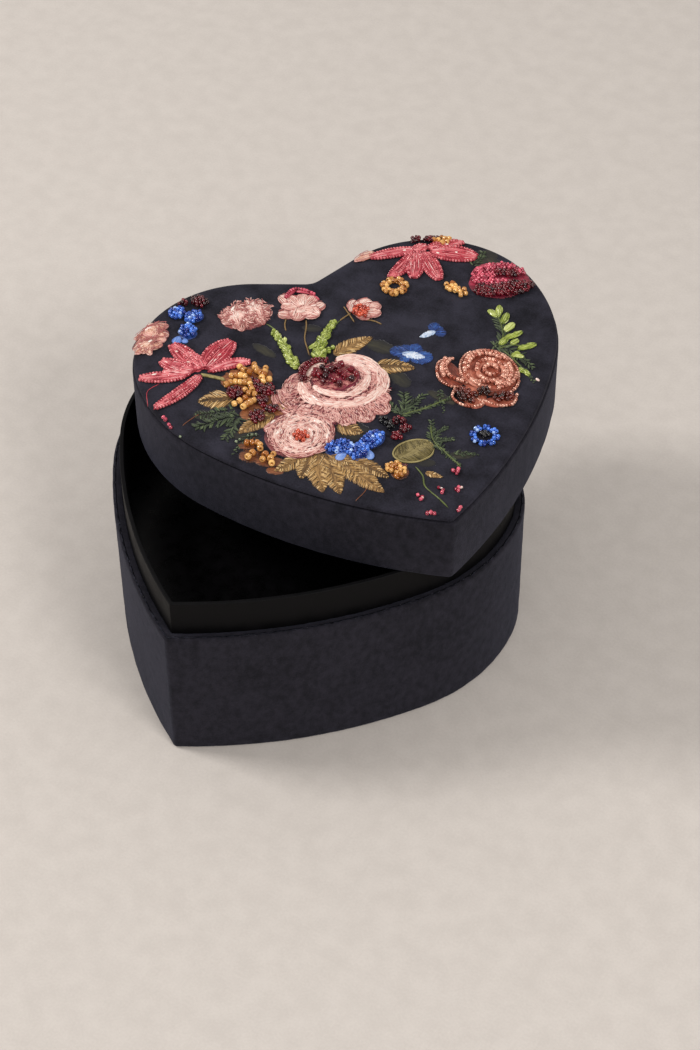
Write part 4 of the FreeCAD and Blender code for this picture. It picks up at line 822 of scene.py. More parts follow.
def strands(name, paths, radius, material, lift=0.0):
    """Stems couched on the velvet: each a round strand along a smooth path, closed to points."""
    steps = np.linspace(0, 1, 40)
    lines = [smooth_path(p, 0.4) for p in paths]
    line = np.stack([np.column_stack([np.interp(steps, np.linspace(0, 1, len(l)), l[:, i]) for i in (0, 1)])
                     for l in lines])
    slope = np.gradient(line, axis=1)
    slope = slope / np.hypot(slope[..., 0], slope[..., 1])[..., None]
    a = np.linspace(0, 2 * math.pi, 6, endpoint=False)
    thin = radius * np.minimum(1, np.sin(steps * math.pi) * 4).clip(0)[None, :, None] + 0 * line[..., :1]
    side = np.stack([-slope[..., 1], slope[..., 0]], -1)
    flat = line[:, :, None] + side[:, :, None] * (thin * np.cos(a))[..., None]
    high = velvet_top(flat[..., 0], flat[..., 1]) + thin * (0.7 + np.sin(a)) + lift
    grid = np.concatenate([flat, high[..., None]], -1)
    uv = np.stack([steps[None, :, None] * 12 + 0 * high, np.arange(6) * 0.3 + 0 * high], -1)
    piece = surface(name, on_lid(grid), material, loop_v=True, uv=uv, marks={"tone": 0 * high + 0.5, "rim_shade": 0 * high})
    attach(piece, "lid")
    return piece


ground_silk = thread_silk("shadow rose silk floss", "#4d1a22", "#8e4a4b", "#b9736c", lay="across")
pink_silk = thread_silk("pale pink silk floss", "#ad625c", "#e5aca2", "#ffdfd4", rough=0.34)
blush_silk = thread_silk("blush silk floss", "#dba196", "#fbd9cc", "#fff7ef", rough=0.28)
deep_silk = thread_silk("deep rose silk floss", "#3e0814", "#7c1f35", "#b54a5e")
mid_silk = thread_silk("dusky pink silk floss", "#7c2f35", "#c0706d", "#eeb1a4")
skirt_rows = [
    (-21, 13.5, -29.5, 4, 6.5, -0.6, 0.15), (-31, 9, -28.5, -5, 8, -1.5, 0.15), (-28, -2, -16, -12, 9, -1, 0.15),
    (-20, -6, -19.5, -14, 7, 0, 0.15), (-15, -6, -14.5, -17, 8, 0, 0.15), (-9, -6, -8, -17.6, 8.5, 0, 0.15),
    (-4, -5, -1.2, -16, 8, 0, 0.15), (-3, -4, 1.8, -10.8, 6, 0.4, 0.2), (-12, 17, -21, 15, 5, -0.4, 0.15)]
bright_rows = [
    (-8, 15.6, 3.8, 3.5, 7.2, 2.6, 0.4), (4.2, 6.4, -2.5, -7.0, 6.0, 1.9, 0.4), (2.4, -3, -12, -7.6, 4.6, 1.2, 0.45),
    (-9, -7.6, -23, 0.5, 4.4, 1.4, 0.45), (-21.5, -3.5, -22.5, 9.5, 4.4, 1.1, 0.4), (-19.9, 10.6, -11.5, 15.8, 3.0, 0.8, 0.5),
    (-6, 14.4, 0.2, 3.4, 3.6, 1.4, 0.7), (0, 4.2, -10.5, -3.2, 3.8, 1.5, 0.7), (-9, -3.4, -19.6, 6, 3.4, 1.6, 0.7)]
small_rows = [(-28, -4.5, -42.5, -8.5, 6.5, 1.0, 0.1), (-35, -6, -21, -9.5, 6, 1.2, 0.1)]
small_rows += rose_ring(-31.5, -15.3, 9.2, 8.0, 6, 78, 5.2, 10, 0.25, 1)
small_inner = rose_ring(-31.7, -16, 6.0, 5.0, 5, 88, 3.8, 40, 0.5, 2)
small_inner += rose_ring(-32, -16.5, 3.4, 3.0, 4, 100, 2.6, 20, 0.7, 3)
cup_ring = rose_ring(-11.2, 6.8, 6.4, 4.4, 7, 66, 4.4, 15, 0.8, 4)
rose_ground = [(-31.5, 3.6, 4.5, 2.4, 27, 0, 0), (-24, -9, 1, -10, 12, 0.5, 0), (-44, -15, -20, -14.5, 22, 0, 0),
               (-43, -6, -27, -5, 6, 0, 0)]
petals("rose_ground", rose_ground, ground_silk, thick=0.25, widest=1.0, blunt=0.45, toothed=0.03, along=60,
       around=18, seed=10)
petals("rose_petals", skirt_rows + bright_rows + small_rows + small_inner, mid_silk, thick=0.22, widest=1.0,
       blunt=0.45, toothed=0.04, along=30, around=16, seed=11)
petals("rose_cup", [(-19.8, 7.0, -2.2, 6.6, 15.0, 0, 0.75)] + cup_ring, deep_silk, thick=0.55, widest=1.0, blunt=0.5,
       along=30, around=20, seed=14)
rose_eye = (-11.0, 6.0)
hairs = np.vstack([strewn(-9.2, 3.4, 12.6, 11.0, 0.9, 2.6, "round", (-9.5, 4.5), 0.34, 0.62, 8),
                   strewn(-13.5, -0.6, 18.0, 15.8, 0.95, 2.6, "out", rose_eye, 0.32, 0.45, 1),
                   strewn(-31.6, -14.6, 11.4, 10.4, 1.0, 2.0, "round", None, 0.32, 0.55, 2)])
dark_hairs = np.vstack([strewn(-13.5, -0.6, 18.4, 16.2, 1.7, 1.9, "out", rose_eye, 0.26, 0.6, 3),
                        strewn(-9.2, 3.4, 12.6, 11.0, 2.3, 1.8, "round", (-9.5, 4.5), 0.24, 0.95, 9),
                        strewn(-31.6, -14.6, 11.0, 10.0, 1.8, 1.5, "round", None, 0.24, 0.85, 4)])
sewn("rose_skirt_threads", np.vstack([bundles(skirt_rows, 16, 6, seed=1, width=0.34, blunt=0.45), hairs]), pink_silk,
     seed=35)
sewn("rose_shadow_threads", np.vstack([bundles(skirt_rows, 4, 6, seed=8, width=0.26, height=0.5), dark_hairs]),
     deep_silk, seed=37, thick=0.2)
sewn("rose_petal_threads", np.vstack([bundles(bright_rows, 15, 5, -0.97, 0.6, seed=3, width=0.36, blunt=0.45, height=0.36),
                                      bundles(small_rows, 10, 4, -0.95, 0.9, seed=2, width=0.36, blunt=0.45, height=0.36),
                                      bundles(small_inner, 7, 3, -0.9, 0.9, seed=6, width=0.36, blunt=0.45, height=0.36)]),
     pink_silk, seed=49, along=8)
sewn("rose_bright_threads", np.vstack([bundles(bright_rows, 15, 6, -0.4, 0.97, seed=4, height=0.42, width=0.4, blunt=0.45),
                                       bundles(small_rows, 8, 4, -0.2, 0.85, seed=5, height=0.42, width=0.4, blunt=0.45),
                                       bundles(small_inner, 5, 3, -0.5, 0.8, seed=7, height=0.42, width=0.4, blunt=0.45),
                                       strewn(-31.6, -14.6, 9.6, 8.6, 2.0, 2.2, "any", None, 0.36, 0.8, 5)]),
     blush_silk, seed=36, along=8)
sewn("rose_cup_threads", np.vstack([bundles(cup_ring, 7, 3, -0.7, 0.95, seed=11, height=0.55, width=0.34),
                                    strewn(-11.2, 6.8, 7.6, 5.6, 1.3, 1.8, "out", None, 0.3, 1.25, 6)]), mid_silk, seed=38)
strands("rose_outlines", edge_lines(bright_rows[:6], (-1.0,), 0.25, 0.8, 0.45)
        + edge_lines((small_rows + small_inner)[::2], (-1.0, 1.0), 0.3, 0.8, 0.45) + edge_lines(cup_ring, (1.0,), blunt=0.45),
        0.12, deep_silk, 0.55)
cup_points = [(-17.8, 9.8), (-16.2, 8.6), (-13.8, 12.1), (-14.6, 7.2), (-16.2, 4.8), (-12.4, 4.6), (-11.4, 1.9),
              (-9.4, 7.6), (-7.2, 11.2), (-5.0, 7.4), (-6.6, 2.8), (-11.2, 9.8), (-4.4, 4.6), (-8.6, 4.9), (-16.6, 11.2), (-13.2, 9.4), (-9.0, 9.8)]
beads("rose_cup_beads", placed(cup_points, 1.35, 21), 2.3, 1.8, wine_glass, seed=4, around=14, across=10)
arc_beads = strings([[(-22.3, 9.5), (-21.5, 13), (-18.5, 16.3), (-14.5, 17.8), (-10.5, 16.5)],
                     [(-21, 9.2), (-20.2, 12.5), (-17.7, 15.1), (-14.3, 16.4), (-11.3, 15.5)]], 1.25, 0.8)
beads("rose_arc_beads", arc_beads, 1.5, 1.1, wine_glass, seed=5)
beads("small_rose_beads", sown(-32.3, -16.8, 2.4, 2.5, 0, 1.35, 1.2, 22), 1.35, 1.2, scarlet_glass, seed=6)
pearl_rows = [
    (-21.8, 2, -20.4, -2.6, 1.0, 0, 0.8), (-19.8, -3.6, -16, -6.0, 1.0, 0, 0.9), (-18.2, 12, -15.2, 14.2, 1.0, 0.3, 0.9),
    (-2.4, 12.4, 1.2, 9.6, 1.2, 0.3, 0.9), (2.6, 1.8, 2.0, -1.2, 1.0, 0, 0.8), (-9, -5.4, -5.5, -5.6, 0.9, -0.2, 0.9),
    (-39.4, -12.4, -36.6, -10.6, 1.1, 0.3, 0.7), (-25.6, -10.4, -23.6, -12.4, 1.1, 0, 0.7), (-24.6, -20.4, -23.2, -18.2, 1.1, 0, 0.7),
    (-39.4, -6.6, -37.2, -5.2, 0.9, 0, 0.6), (-33.4, -23.6, -31, -23.8, 0.9, 0, 0.7), (-28.6, -13.8, -27.6, -15.8, 0.9, 0, 1.1),
    (-57.6, 40.2, -56.6, 39.6, 0.8, 0, 0.9), (-62.8, 36.4, -61.8, 35.2, 0.7, 0, 0.9), (-55.8, 33.3, -53.9, 32.0, 0.7, 0, 1.0),
    (-69, 31.4, -67, 31.2, 0.7, 0, 0.8), (-45, 32, -43, 33.2, 0.7, 0, 0.8),
    (-47, 30, -45.6, 31, 0.5, 0, 0.9), (36.4, 62.6, 37.6, 62.4, 0.8, 0, 0.9),
    (52, 60.4, 53.2, 59.8, 0.8, 0, 0.8), (53.4, 54.6, 54.4, 54.2, 0.7, 0, 0.9), (47, 57, 48, 56, 0.6, 0, 0.9),
    (-32.6, 53, -30.8, 55, 1.0, 0, 1.2), (-36, 48.6, -34, 49.0, 0.8, 0, 0.9), (-24.6, 52.8, -23.6, 55, 0.9, 0, 1.2),
    (-5.4, 45.4, -3.4, 45.2, 1.0, 0, 1.0), (-13.2, 46.8, -11.2, 46.4, 0.8, 0, 0.9), (-64, 54.6, -61, 55.6, 1.2, 0, 1.1),
    (-65.6, 47.6, -63, 49, 1.0, 0, 1.0), (13.6, 40.4, 15.6, 39.6, 0.8, 0, 0.9)]
petals("pearl_strips", pearl_rows, pearl, thick=0.35, widest=1.0, blunt=0.4, along=10, around=8, seed=39)


# ---- Carnations and buds
# Small pale flowers of crumpled petals, with a blush of rose on the outermost, on thread stems.
def crumpled(cx, cy, rx, ry, count, seed):
    """Rows for a crumpled flower: petals of several lengths laid round and over its middle."""
    rng = np.random.default_rng(seed)
    share = np.sqrt(np.linspace(1, 0.08, count))
    at = np.arange(count) * 2.4 + rng.uniform(-0.3, 0.3, count)
    x1, y1 = cx + rx * share * np.cos(at), cy + ry * share * np.sin(at)
    x0, y0 = cx - 0.2 * rx * np.cos(at), cy - 0.2 * ry * np.sin(at)
    wide = min(rx, ry) * rng.uniform(0.5, 0.72, count)
    return np.column_stack([x0, y0, x1, y1, wide, rng.uniform(-0.9, 0.9, count), 1.1 * (1 - share)]).tolist()


round_rows = crumpled(-31.6, 50.0, 6.6, 8.4, 20, 1) + crumpled(-24.5, 50.8, 6.0, 8.6, 20, 5)
tulip_rows = [(-9.5, 45, -17.8, 46.2, 5.2, 0.6, 0.1), (-9, 45, -13.5, 55.8, 5.6, 0, 0.2), (-9, 45, -0.2, 45.6, 5, -0.6, 0.1),
              (-10, 47, -13.4, 40.6, 6.4, 0.6, 0.4), (-8, 47, -4.5, 39.6, 7, -0.6, 0.5), (-9, 46, -10.6, 53.6, 5.2, 0, 0.5),
              (-8, 46, -6.2, 53, 5.2, 0, 0.7), (-7.5, 46, -2.2, 50.6, 5, 0, 0.5), (-10, 46, -15, 50, 4.6, 0, 0.6),
              (-12, 44, -5, 43.6, 5.4, 0, 0.7)]
bud_petals = [(7, 37, 10.8, 43, 4.6, 0.5, 0.2), (7, 37, 15.5, 41.4, 5.2, 0.3, 0.3), (7, 36.5, 18, 37.4, 5.4, 0, 0.3),
              (7, 36, 16.6, 33.4, 5.2, 0, 0.4), (7.4, 36, 12, 32.4, 4.4, 0, 0.3)]
peach_rows = crumpled(-62.0, 53.4, 7.4, 7.2, 24, 4) + crumpled(-66.0, 46.8, 6.0, 5.0, 14, 6)
peach_rows += [(29, 65.2, 18, 63.9, 3.4, -0.4, 0.2), (27, 66.9, 20.5, 66.0, 2.0, 0, 0.1)]
carnation_ground = [(-37.6, 49.6, -18.8, 50.4, 15.5, 0, 0), (-17, 46, -1, 46, 10, 0, 0), (-70, 49.5, -56, 53, 11, 0, 0),
                    (7, 37.2, 16, 37.6, 8, 0, 0)]
petals("carnation_ground", carnation_ground, ground_silk, thick=0.2, widest=1.0, blunt=0.5, toothed=0.04, seed=47)
petals("carnation_petals", round_rows + tulip_rows + bud_petals, pink_silk, thick=0.5, widest=1.4, blunt=0.5,
       toothed=0.05, ruffle=0.2, along=20, around=12, seed=17)
sewn("carnation_threads", np.vstack([bundles(round_rows, 5, 1, seed=12, widest=1.4),
                                     strewn(-28, 50.2, 9.6, 8.0, 1.3, 1.8, "any", None, 0.3, 0.9, 7),
                                     bundles(tulip_rows + bud_petals, 8, 3, seed=13, widest=1.4)]), pink_silk, seed=40)
sewn("carnation_bright_threads", np.vstack([
    bundles(round_rows, 3, 1, -0.3, 0.6, seed=14, height=0.6, widest=1.4),
    bundles(tulip_rows + bud_petals, 5, 2, -0.4, 0.7, seed=15, height=0.6, widest=1.4)]), blush_silk, seed=41)
strands("carnation_outlines", edge_lines(round_rows + tulip_rows + bud_petals, (-1.0, 1.0), 0.3, 0.97, 0.5), 0.11,
        mid_silk, 1.0)
peach_silk = thread_silk("peach silk floss", "#b9705a", "#f0c2aa", "#fff0e4", rough=0.32)
petals("peach_flower", peach_rows, pink_silk, thick=0.5, widest=1.4, blunt=0.5, toothed=0.05, ruffle=0.2,
       along=20, around=12, seed=18)
sewn("peach_threads", bundles(peach_rows, 6, 1, seed=16, widest=1.4), peach_silk, seed=42)
strands("peach_outlines", edge_lines(peach_rows, (-1.0, 1.0), 0.3, 0.97, 0.5), 0.11, mid_silk, 1.0)
bright_silk = thread_silk("bright rose silk floss", "#8e2238", "#cc5163", "#ef9aa0")
petals("carnation_blush", [(-12, 52.4, -7.2, 55.8, 2.0, 0.7, 0.9), (-7.6, 55, -2.6, 51.6, 2.0, 0.6, 0.9),
                           (-4, 51.6, -1.6, 47.6, 1.4, 0.4, 0.8)], bright_silk, thick=0.5, widest=1.0, blunt=0.4,
       seed=19)
beads("blush_beads", strings([[(-12.4, 52.6), (-10, 55), (-7.2, 55.6), (-4.4, 53.4), (-2.4, 50.6)]], 1.05, 1.3), 1.1, 0.9,
      rose_glass, seed=22)
beads("bud_beads", sown(9.6, 36.2, 3.0, 3.6, 0, 1.35, 0.9, 55), 1.35, 1.15, scarlet_glass, seed=19)


# ---- Lilies
# Two coral lilies of pointed petals, satin stitched, with lines of tiny lined beads along them. Lighter
# coral threads down the middle of the petals are painted sheen.
lily_silk = thread_silk("coral pink silk floss", "#7c1526", "#bd3546", "#e0666d", rim_shade=0.15)
# A lighter copy of the coral floss, laid as painted sheen on the satin petals.
lily_sheen_silk = thread_silk("coral silk floss painted with sheen", "#c24253", "#ee858a", "#ffdcd8", rough=0.28)
left_lily = [
    (-51, 28.0, -37.0, 38.4, 8.8, 0.6, 0.3), (-50.5, 26.4, -34.8, 25.4, 4.2, 1.4, 0.2),
    (-53, 27.5, -57.6, 45.0, 6.4, -0.5, 0.2), (-54.5, 28, -63.6, 38.0, 5.8, 0.6, 0.35),
    (-51.5, 28, -54.4, 38.6, 4.6, -0.4, 0.45), (-57, 27.2, -73.6, 32.4, 4.6, 0.6, 0.3),
    (-52.5, 26.0, -73.4, 15.8, 4.2, 1.3, 0.3), (-56, 27.8, -65, 31.6, 3.6, 0.4, 0.45)]
right_lily = [
    (40, 60.6, 26, 50.2, 5.0, 0.9, 0.2), (40.5, 61, 34, 46.8, 5.8, 0.5, 0.3),
    (43, 60, 42.3, 42.3, 5.8, 0, 0.4), (45, 58.8, 60, 49.2, 8.2, 0.8, 0.3), (45, 61, 59.5, 59.6, 4.4, 0.6, 0.2),
    (42, 61.6, 23.5, 63.8, 4.6, -0.4, 0.2), (40, 61, 45.6, 62.4, 4.0, 0.3, 0.5)]
both_lilies = left_lily + right_lily
petals("lilies", both_lilies, lily_silk, thick=0.5, widest=1.0, blunt=0.5, toothed=0.1, along=40, around=18,
       seed=20)
sewn("lily_threads", np.vstack([bundles(both_lilies, 10, 4, -0.9, 0.9, seed=17, width=0.4),
                                stitches(both_lilies, 1.2, slant=1.2, height=0.6, width=0.34, widest=1.0, blunt=0.5,
                                         seed=8)]), lily_silk, seed=43)
# Threads down the middle of each petal in the lighter floss: painted sheen.
sewn("lily_sheen_threads", bundles(both_lilies, 6, 3, -0.55, 0.6, seed=18, width=0.42, height=0.58), lily_sheen_silk,
     seed=44)
strands("lily_outlines", edge_lines(both_lilies, (-1.0, 1.0, 0.0), 0.03, 0.98, 0.5), 0.12, lily_silk, 0.7)


beads("lily_beads", strings(edge_lines(both_lilies, (-1.0, 1.0), blunt=0.5), 1.1, 0.05), 1.15, 0.95, coral_glass,
      seed=7, around=8, across=5)
beads("lily_middle_beads", strings(edge_lines(both_lilies[::2], (0.25,), 0.2, 0.8), 1.1, 0.7), 0.95, 0.9,
      coral_glass, seed=20, around=7, across=5)


# ---- Beaded roses
# The salmon rose is worked in rings of lined beads over salmon stitches, with brown-red beads in its
# lower petals. The magenta flower at the edge is beaded all over, its lower half in wine red.
salmon_silk = thread_silk("salmon silk floss", "#5e2417", "#a04f3b", "#d2836a", rim_shade=0.2)
salmon_light = thread_silk("light salmon silk floss", "#a5523f", "#d58a72", "#ffc4ac")
salmon_rows = [(27, -12.5, 26.4, 2.2, 8.6, 0.6, 0.1), (28.5, -13.0, 26.5, -24.0, 8.8, 1.8, 0.1),
               (31, -22.2, 43, -24.2, 5.6, -1.0, 0.1)]
salmon_ring = rose_ring(39.0, -9.6, 7.4, 8.8, 7, 76, 5.0, 20, 0.3)
petals("salmon_rose_middle", [(28.5, -9.6, 49, -9.6, 23.5, 0, 0.05)], salmon_silk, thick=0.5, widest=1.0,
       blunt=0.5, along=50, around=18, toothed=0.02, seed=22)
petals("salmon_rose_petals", salmon_rows + salmon_ring, salmon_silk, thick=0.6, widest=1.0, blunt=0.42,
       toothed=0.05, along=30, around=16, seed=21)
petals("salmon_rose_folds", rose_ring(39.6, -9.8, 4.6, 5.0, 5, 80, 2.6, 50, 0.8) + [
    (31.4, -10, 33, -15.4, 2.6, -0.6, 0.8), (43, -13, 47, -14.4, 2.6, 0, 0.8)], salmon_light, thick=0.6, widest=1.0,
       blunt=0.45, along=24, around=12, seed=42)


def ring_path(cx, cy, rx, ry, first, last):
    """Points along an ellipse between two directions in degrees."""
    at = np.radians(np.linspace(first, last, 9))
    return np.column_stack([cx + rx * np.cos(at), cy + ry * np.sin(at)])


salmon_outline = strings([
    ring_path(39, -9.6, 9.7, 11.8, -40, 100), ring_path(38.6, -9.6, 9.0, 12.2, 100, 190),
    ring_path(39.4, -9.6, 9.4, 12.2, -100, -40),
    [(30.2, 1.6), (28, 2.4), (24.6, 1.2), (22.4, -3), (22.0, -7), (24.0, -11.2), (27, -13)],
    [(24.6, -13.4), (22.4, -16.5), (23.4, -20.5), (26.4, -23.4), (30.8, -23.4), (30, -20.6)],
    [(31.5, -22), (34.2, -25), (37, -26.8), (40.4, -26.9), (43.2, -23.4)]], 1.05, 0.0)
beads("salmon_outline_beads", salmon_outline, 1.15, 1.0, salmon_glass, seed=21, around=7, across=5)
salmon_strings = strings([
    ring_path(39.0, -9.6, 8.2, 10.2, 15, 165), ring_path(39.0, -9.6, 6.9, 8.8, 30, 150),
    ring_path(38.6, -9.6, 7.4, 9.2, 180, 245), ring_path(38.8, -9.4, 7.6, 9.0, 285, 360),
    ring_path(38.8, -9.4, 6.2, 7.4, 270, 365), ring_path(39.4, -9.6, 4.8, 5.6, 200, 330),
    ring_path(39.4, -9.4, 4.4, 5.2, 20, 160), ring_path(39.6, -9.6, 2.2, 2.6, 0, 300),
    [(31.6, -12.2), (33.2, -13.6), (36, -14.8), (38.8, -15.6)],
    [(38.4, -19.2), (42, -18.8), (45.2, -17), (47, -14.6)], [(39.4, -17.4), (42.6, -17.0)],
    [(28.4, 0.2), (26.2, -1.6), (25.2, -4.8), (26.0, -8.6), (28.2, -11)], [(27.2, 1.4), (24.4, -2.2), (23.6, -6)]],
    1.3, 0.95)
beads("salmon_beads", salmon_strings, 1.55, 1.2, salmon_glass, seed=8)
brown_spots = np.vstack([sown(27.0, -18.2, 3.0, 4.2, 25, 1.5, 0.6, 23), sown(33.0, -18.8, 2.4, 2.0, -30, 1.6, 0.8, 24),
                         sown(38.2, -23.4, 3.8, 1.7, -5, 1.5, 0.7, 25)])
beads("brown_red_beads", brown_spots, 1.6, 1.3, brown_glass, seed=9)

magenta_silk = thread_silk("magenta silk floss", "#6d1128", "#b3344e", "#e0697c")
petals("magenta_flower_ground", [(50.8, 35.2, 73.2, 33.4, 18.5, 0, 0.05), (55, 42, 68, 40.5, 6, 1.2, 0.2)], magenta_silk,
       thick=0.5, widest=1.0, blunt=0.5, toothed=0.04, along=60, around=18, seed=23)
magenta_wine = np.vstack([sown(65.6, 36.4, 5.0, 2.2, -30, 1.35, 0.7, 26), sown(54.2, 31.4, 3.0, 3.6, 0, 1.35, 0.5, 27),
                          sown(64, 28.6, 8.6, 3.6, -8, 1.35, 0.6, 28), sown(57.4, 29.4, 4.6, 3.2, -10, 1.35, 0.6, 29)])
beads("magenta_flower_beads", magenta_wine, 1.45, 1.1, wine_glass, seed=10)
beads("magenta_rose_beads", np.vstack([
    sown(57.6, 38.8, 5.2, 4.0, 35, 1.3, 0.5, 56), sown(65.0, 41.2, 6.0, 2.2, -18, 1.3, 0.5, 57),
    sown(61.0, 33.0, 4.4, 1.8, -14, 1.3, 0.6, 58), sown(70.8, 36.6, 1.7, 2.6, 20, 1.3, 0.4, 59)]),
      1.3, 1.1, rose_glass, seed=11)


# ---- Blue flowers
# Royal blue blossoms: petals of lighter blue satin stitch, packed with small blue beads, and two
# butterflies stitched in blue and white.
sky_silk = thread_silk("sky blue silk floss", "#3c66b8", "#7a9ce0", "#b3c8f4")
royal_silk = thread_silk("royal blue silk floss", "#0a1a48", "#1f438f", "#4778c8")
blue_ground = [
    (-17, -25, -27.2, -26.5, 7, 0, 0.05), (-16.5, -27, -19, -34.2, 7.6, 0, 0.05), (-17, -28, -6, -24, 7, -0.6, 0.1),
    (-50, 57.5, -50.5, 62.3, 6.2, 0, 0.05), (-49, 55, -42, 57.3, 6.6, 0, 0.05), (-50.5, 53, -50, 44.8, 6.6, 0, 0.05)]
petals("blue_ground", blue_ground, royal_silk, thick=0.45, widest=1.2, blunt=0.45, seed=24)
petals("blue_satin", [(-20.5, -28, -25, -31, 3.4, 0, 0.3), (-13.5, -30, -14.5, -35, 3.2, 0, 0.3),
                      (-9.5, -25, -7.5, -22, 3.6, 0, 0.3), (-53.5, 48, -56.2, 44.6, 3.6, 0, 0.2),
                      (-52, 46, -53, 43.6, 2.4, 0, 0.2)], sky_silk, thick=0.5, widest=1.3, blunt=0.5, seed=25)
blue_spots = np.vstack([
    sown(-22.2, -25.6, 5.0, 2.9, -8, 1.4, 0.45, 31), sown(-17.0, -30.4, 3.7, 3.6, 0, 1.4, 0.45, 32),
    sown(-11.2, -26.8, 5.4, 3.0, 32, 1.4, 0.5, 33), sown(-50.3, 59.6, 2.9, 2.9, 0, 1.4, 0.4, 34),
    sown(-45.8, 55.4, 3.6, 3.1, 15, 1.4, 0.4, 35), sown(-50, 48.8, 3.1, 3.6, -10, 1.4, 0.4, 36)])
beads("blue_beads", blue_spots, 1.45, 1.15, blue_glass, seed=12)


def daisy(cx, cy, reach, petal, count, start, lift):
    """Bead places of a daisy: each petal is a loop of four beads at so far from the middle."""
    at = np.radians(start + np.arange(count) * 360 / count)[:, None]
    turn = np.radians([45, 135, 225, 315])[None, :]
    x = cx + reach * np.cos(at) + petal * np.cos(at + turn)
    y = cy + reach * np.sin(at) + petal * np.sin(at + turn)
    return np.column_stack([x.ravel(), y.ravel(), (at + turn + math.pi / 2).ravel(), np.full(x.size, lift)])


beads("blue_daisy_beads", daisy(25, -38, 3.9, 0.85, 8, 12, 0.05), 1.3, 1.1, blue_glass, seed=13)
gold_daisy = np.vstack([daisy(26, 44.8, 3.5, 0.95, 7, 90, 0.1), sown(44.4, 36.8, 2.0, 2.8, 0, 1.9, 0.3, 37),
                        sown(46.2, 33.0, 2.0, 2.6, 20, 1.9, 0.3, 38), sown(52.6, 63, 3.8, 2.0, -15, 1.9, 0.4, 39)])
beads("gold_daisy_beads", gold_daisy, 1.9, 1.5, gold_glass, seed=15, around=10, across=6)
beads("gold_bud_beads", sown(-8.6, -42.8, 2.7, 3.7, 10, 1.6, 0.3, 40), 1.6, 1.5, gold_glass, seed=16)
butterfly_rows = [(18, 9.6, 12, 14.4, 6, 0, 0.1), (18, 9.4, 23.8, 4, 7, 0, 0.1), (18, 9, 22.0, 13.6, 5.5, 0, 0.05),
                  (18, 10, 13.2, 6.8, 4, 0, 0.05), (18, 10, 17, 15, 4.5, 0, 0.05), (18, 9, 19, 4, 4, 0, 0.05),
                  (29.5, 17, 32, 22, 4.5, 0, 0.05), (29.5, 17, 33.6, 15.2, 4.5, 0, 0.05), (29.5, 17, 33.6, 18.6, 3.5, 0, 0.05)]
royal_dark = thread_silk("deep blue silk floss", "#0a1638", "#1b3a78", "#3a6cb4", rough=0.6)
petals("butterflies_blue", butterfly_rows, royal_dark, thick=0.12, widest=1.3, blunt=0.6, toothed=0.16, seed=26)
sewn("butterfly_stitches", stitches(butterfly_rows, 0.9, slant=1.8, height=0.12, width=0.34, widest=1.3, blunt=0.6,
                                    seed=9), royal_silk, seed=43, thick=0.14)
white_silk = thread_silk("white silk floss", "#8fb0d8", "#cfdcf0", "#ffffff")
white_rows = [(14.8, 11.2, 21.8, 5.8, 3.8, 0, 0.15), (30.6, 17.4, 24, 16.5, 2.6, 0, 0.1)]
petals("butterflies_white", white_rows, white_silk, thick=0.2, widest=1.0, blunt=0.7, toothed=0.2, seed=27)
sewn("butterfly_white_stitches", stitches(white_rows, 0.7, slant=1.6, height=0.2, width=0.34, widest=1.0,
                                          blunt=0.7, seed=10), white_silk, seed=44, thick=0.14)


# ---- Sprays and stems
# Light green sprays: plump satin buds and lined beads either side of a stem, over dark green stitches,
# with fern sprigs in single stitches and thin stems in one strand.
bud_green = thread_silk("light green silk floss", "#5f6e20", "#b2c052", "#fdffd0", rough=0.24, rim_shade=0.5)
def sprig(points, count, reach, open_angle, width=0.8, seed=0, lift=0.0):
    """Rows for a sprig: needles along a smooth stem, turned out to left and right by turns."""
    rng = np.random.default_rng(seed)
    stem = smooth_path(points, 0.2)
    pick = stem[np.linspace(0, len(stem) - 1, count).astype(int)]
    turn = np.where(np.arange(count) % 2 == 0, 1, -1) * math.radians(open_angle)
    head = pick[:, 2] + turn + rng.normal(0, 0.22, count)
    size = reach * rng.uniform(0.5, 1.15, count) * (1 - 0.5 * np.linspace(0, 1, count))
    return np.column_stack([pick[:, 0], pick[:, 1], pick[:, 0] + size * np.cos(head),
                            pick[:, 1] + size * np.sin(head), width + 0 * size, 0 * size,
                            lift + rng.uniform(0, 0.3, count)]).tolist()


left_spray = [(-21.0, 16.5), (-21.6, 23), (-21.4, 30), (-22.6, 37.5)]
middle_spray = [(-13.0, 19.0), (-10.5, 23.5), (-6.5, 28.5), (-1.5, 34.5)]
bud_rows = sprig(left_spray, 30, 3.6, 40, 2.1, 20, 0.1) + sprig(middle_spray, 34, 4.2, 38, 2.2, 21, 0.1)
bud_rows += sprig([(-13, 19), (-10, 20.5), (-7, 22)], 8, 3.4, 30, 2.0, 22, 0.1)
petals("spray_buds", bud_rows, bud_green, thick=0.7, widest=1.0, blunt=0.5, lift=0.1, along=12, around=10, seed=28)
sewn("spray_threads", bundles(bud_rows, 3, 1, -0.5, 0.5, seed=19, height=0.75, width=0.4), bud_green, seed=48)
petals("spray_glints", [row[:4] + [1.2, 0, 0.75] for row in bud_rows[::4]], lime_glass, thick=0.4, widest=1.0, blunt=0.4,
       along=8, around=8, seed=52)
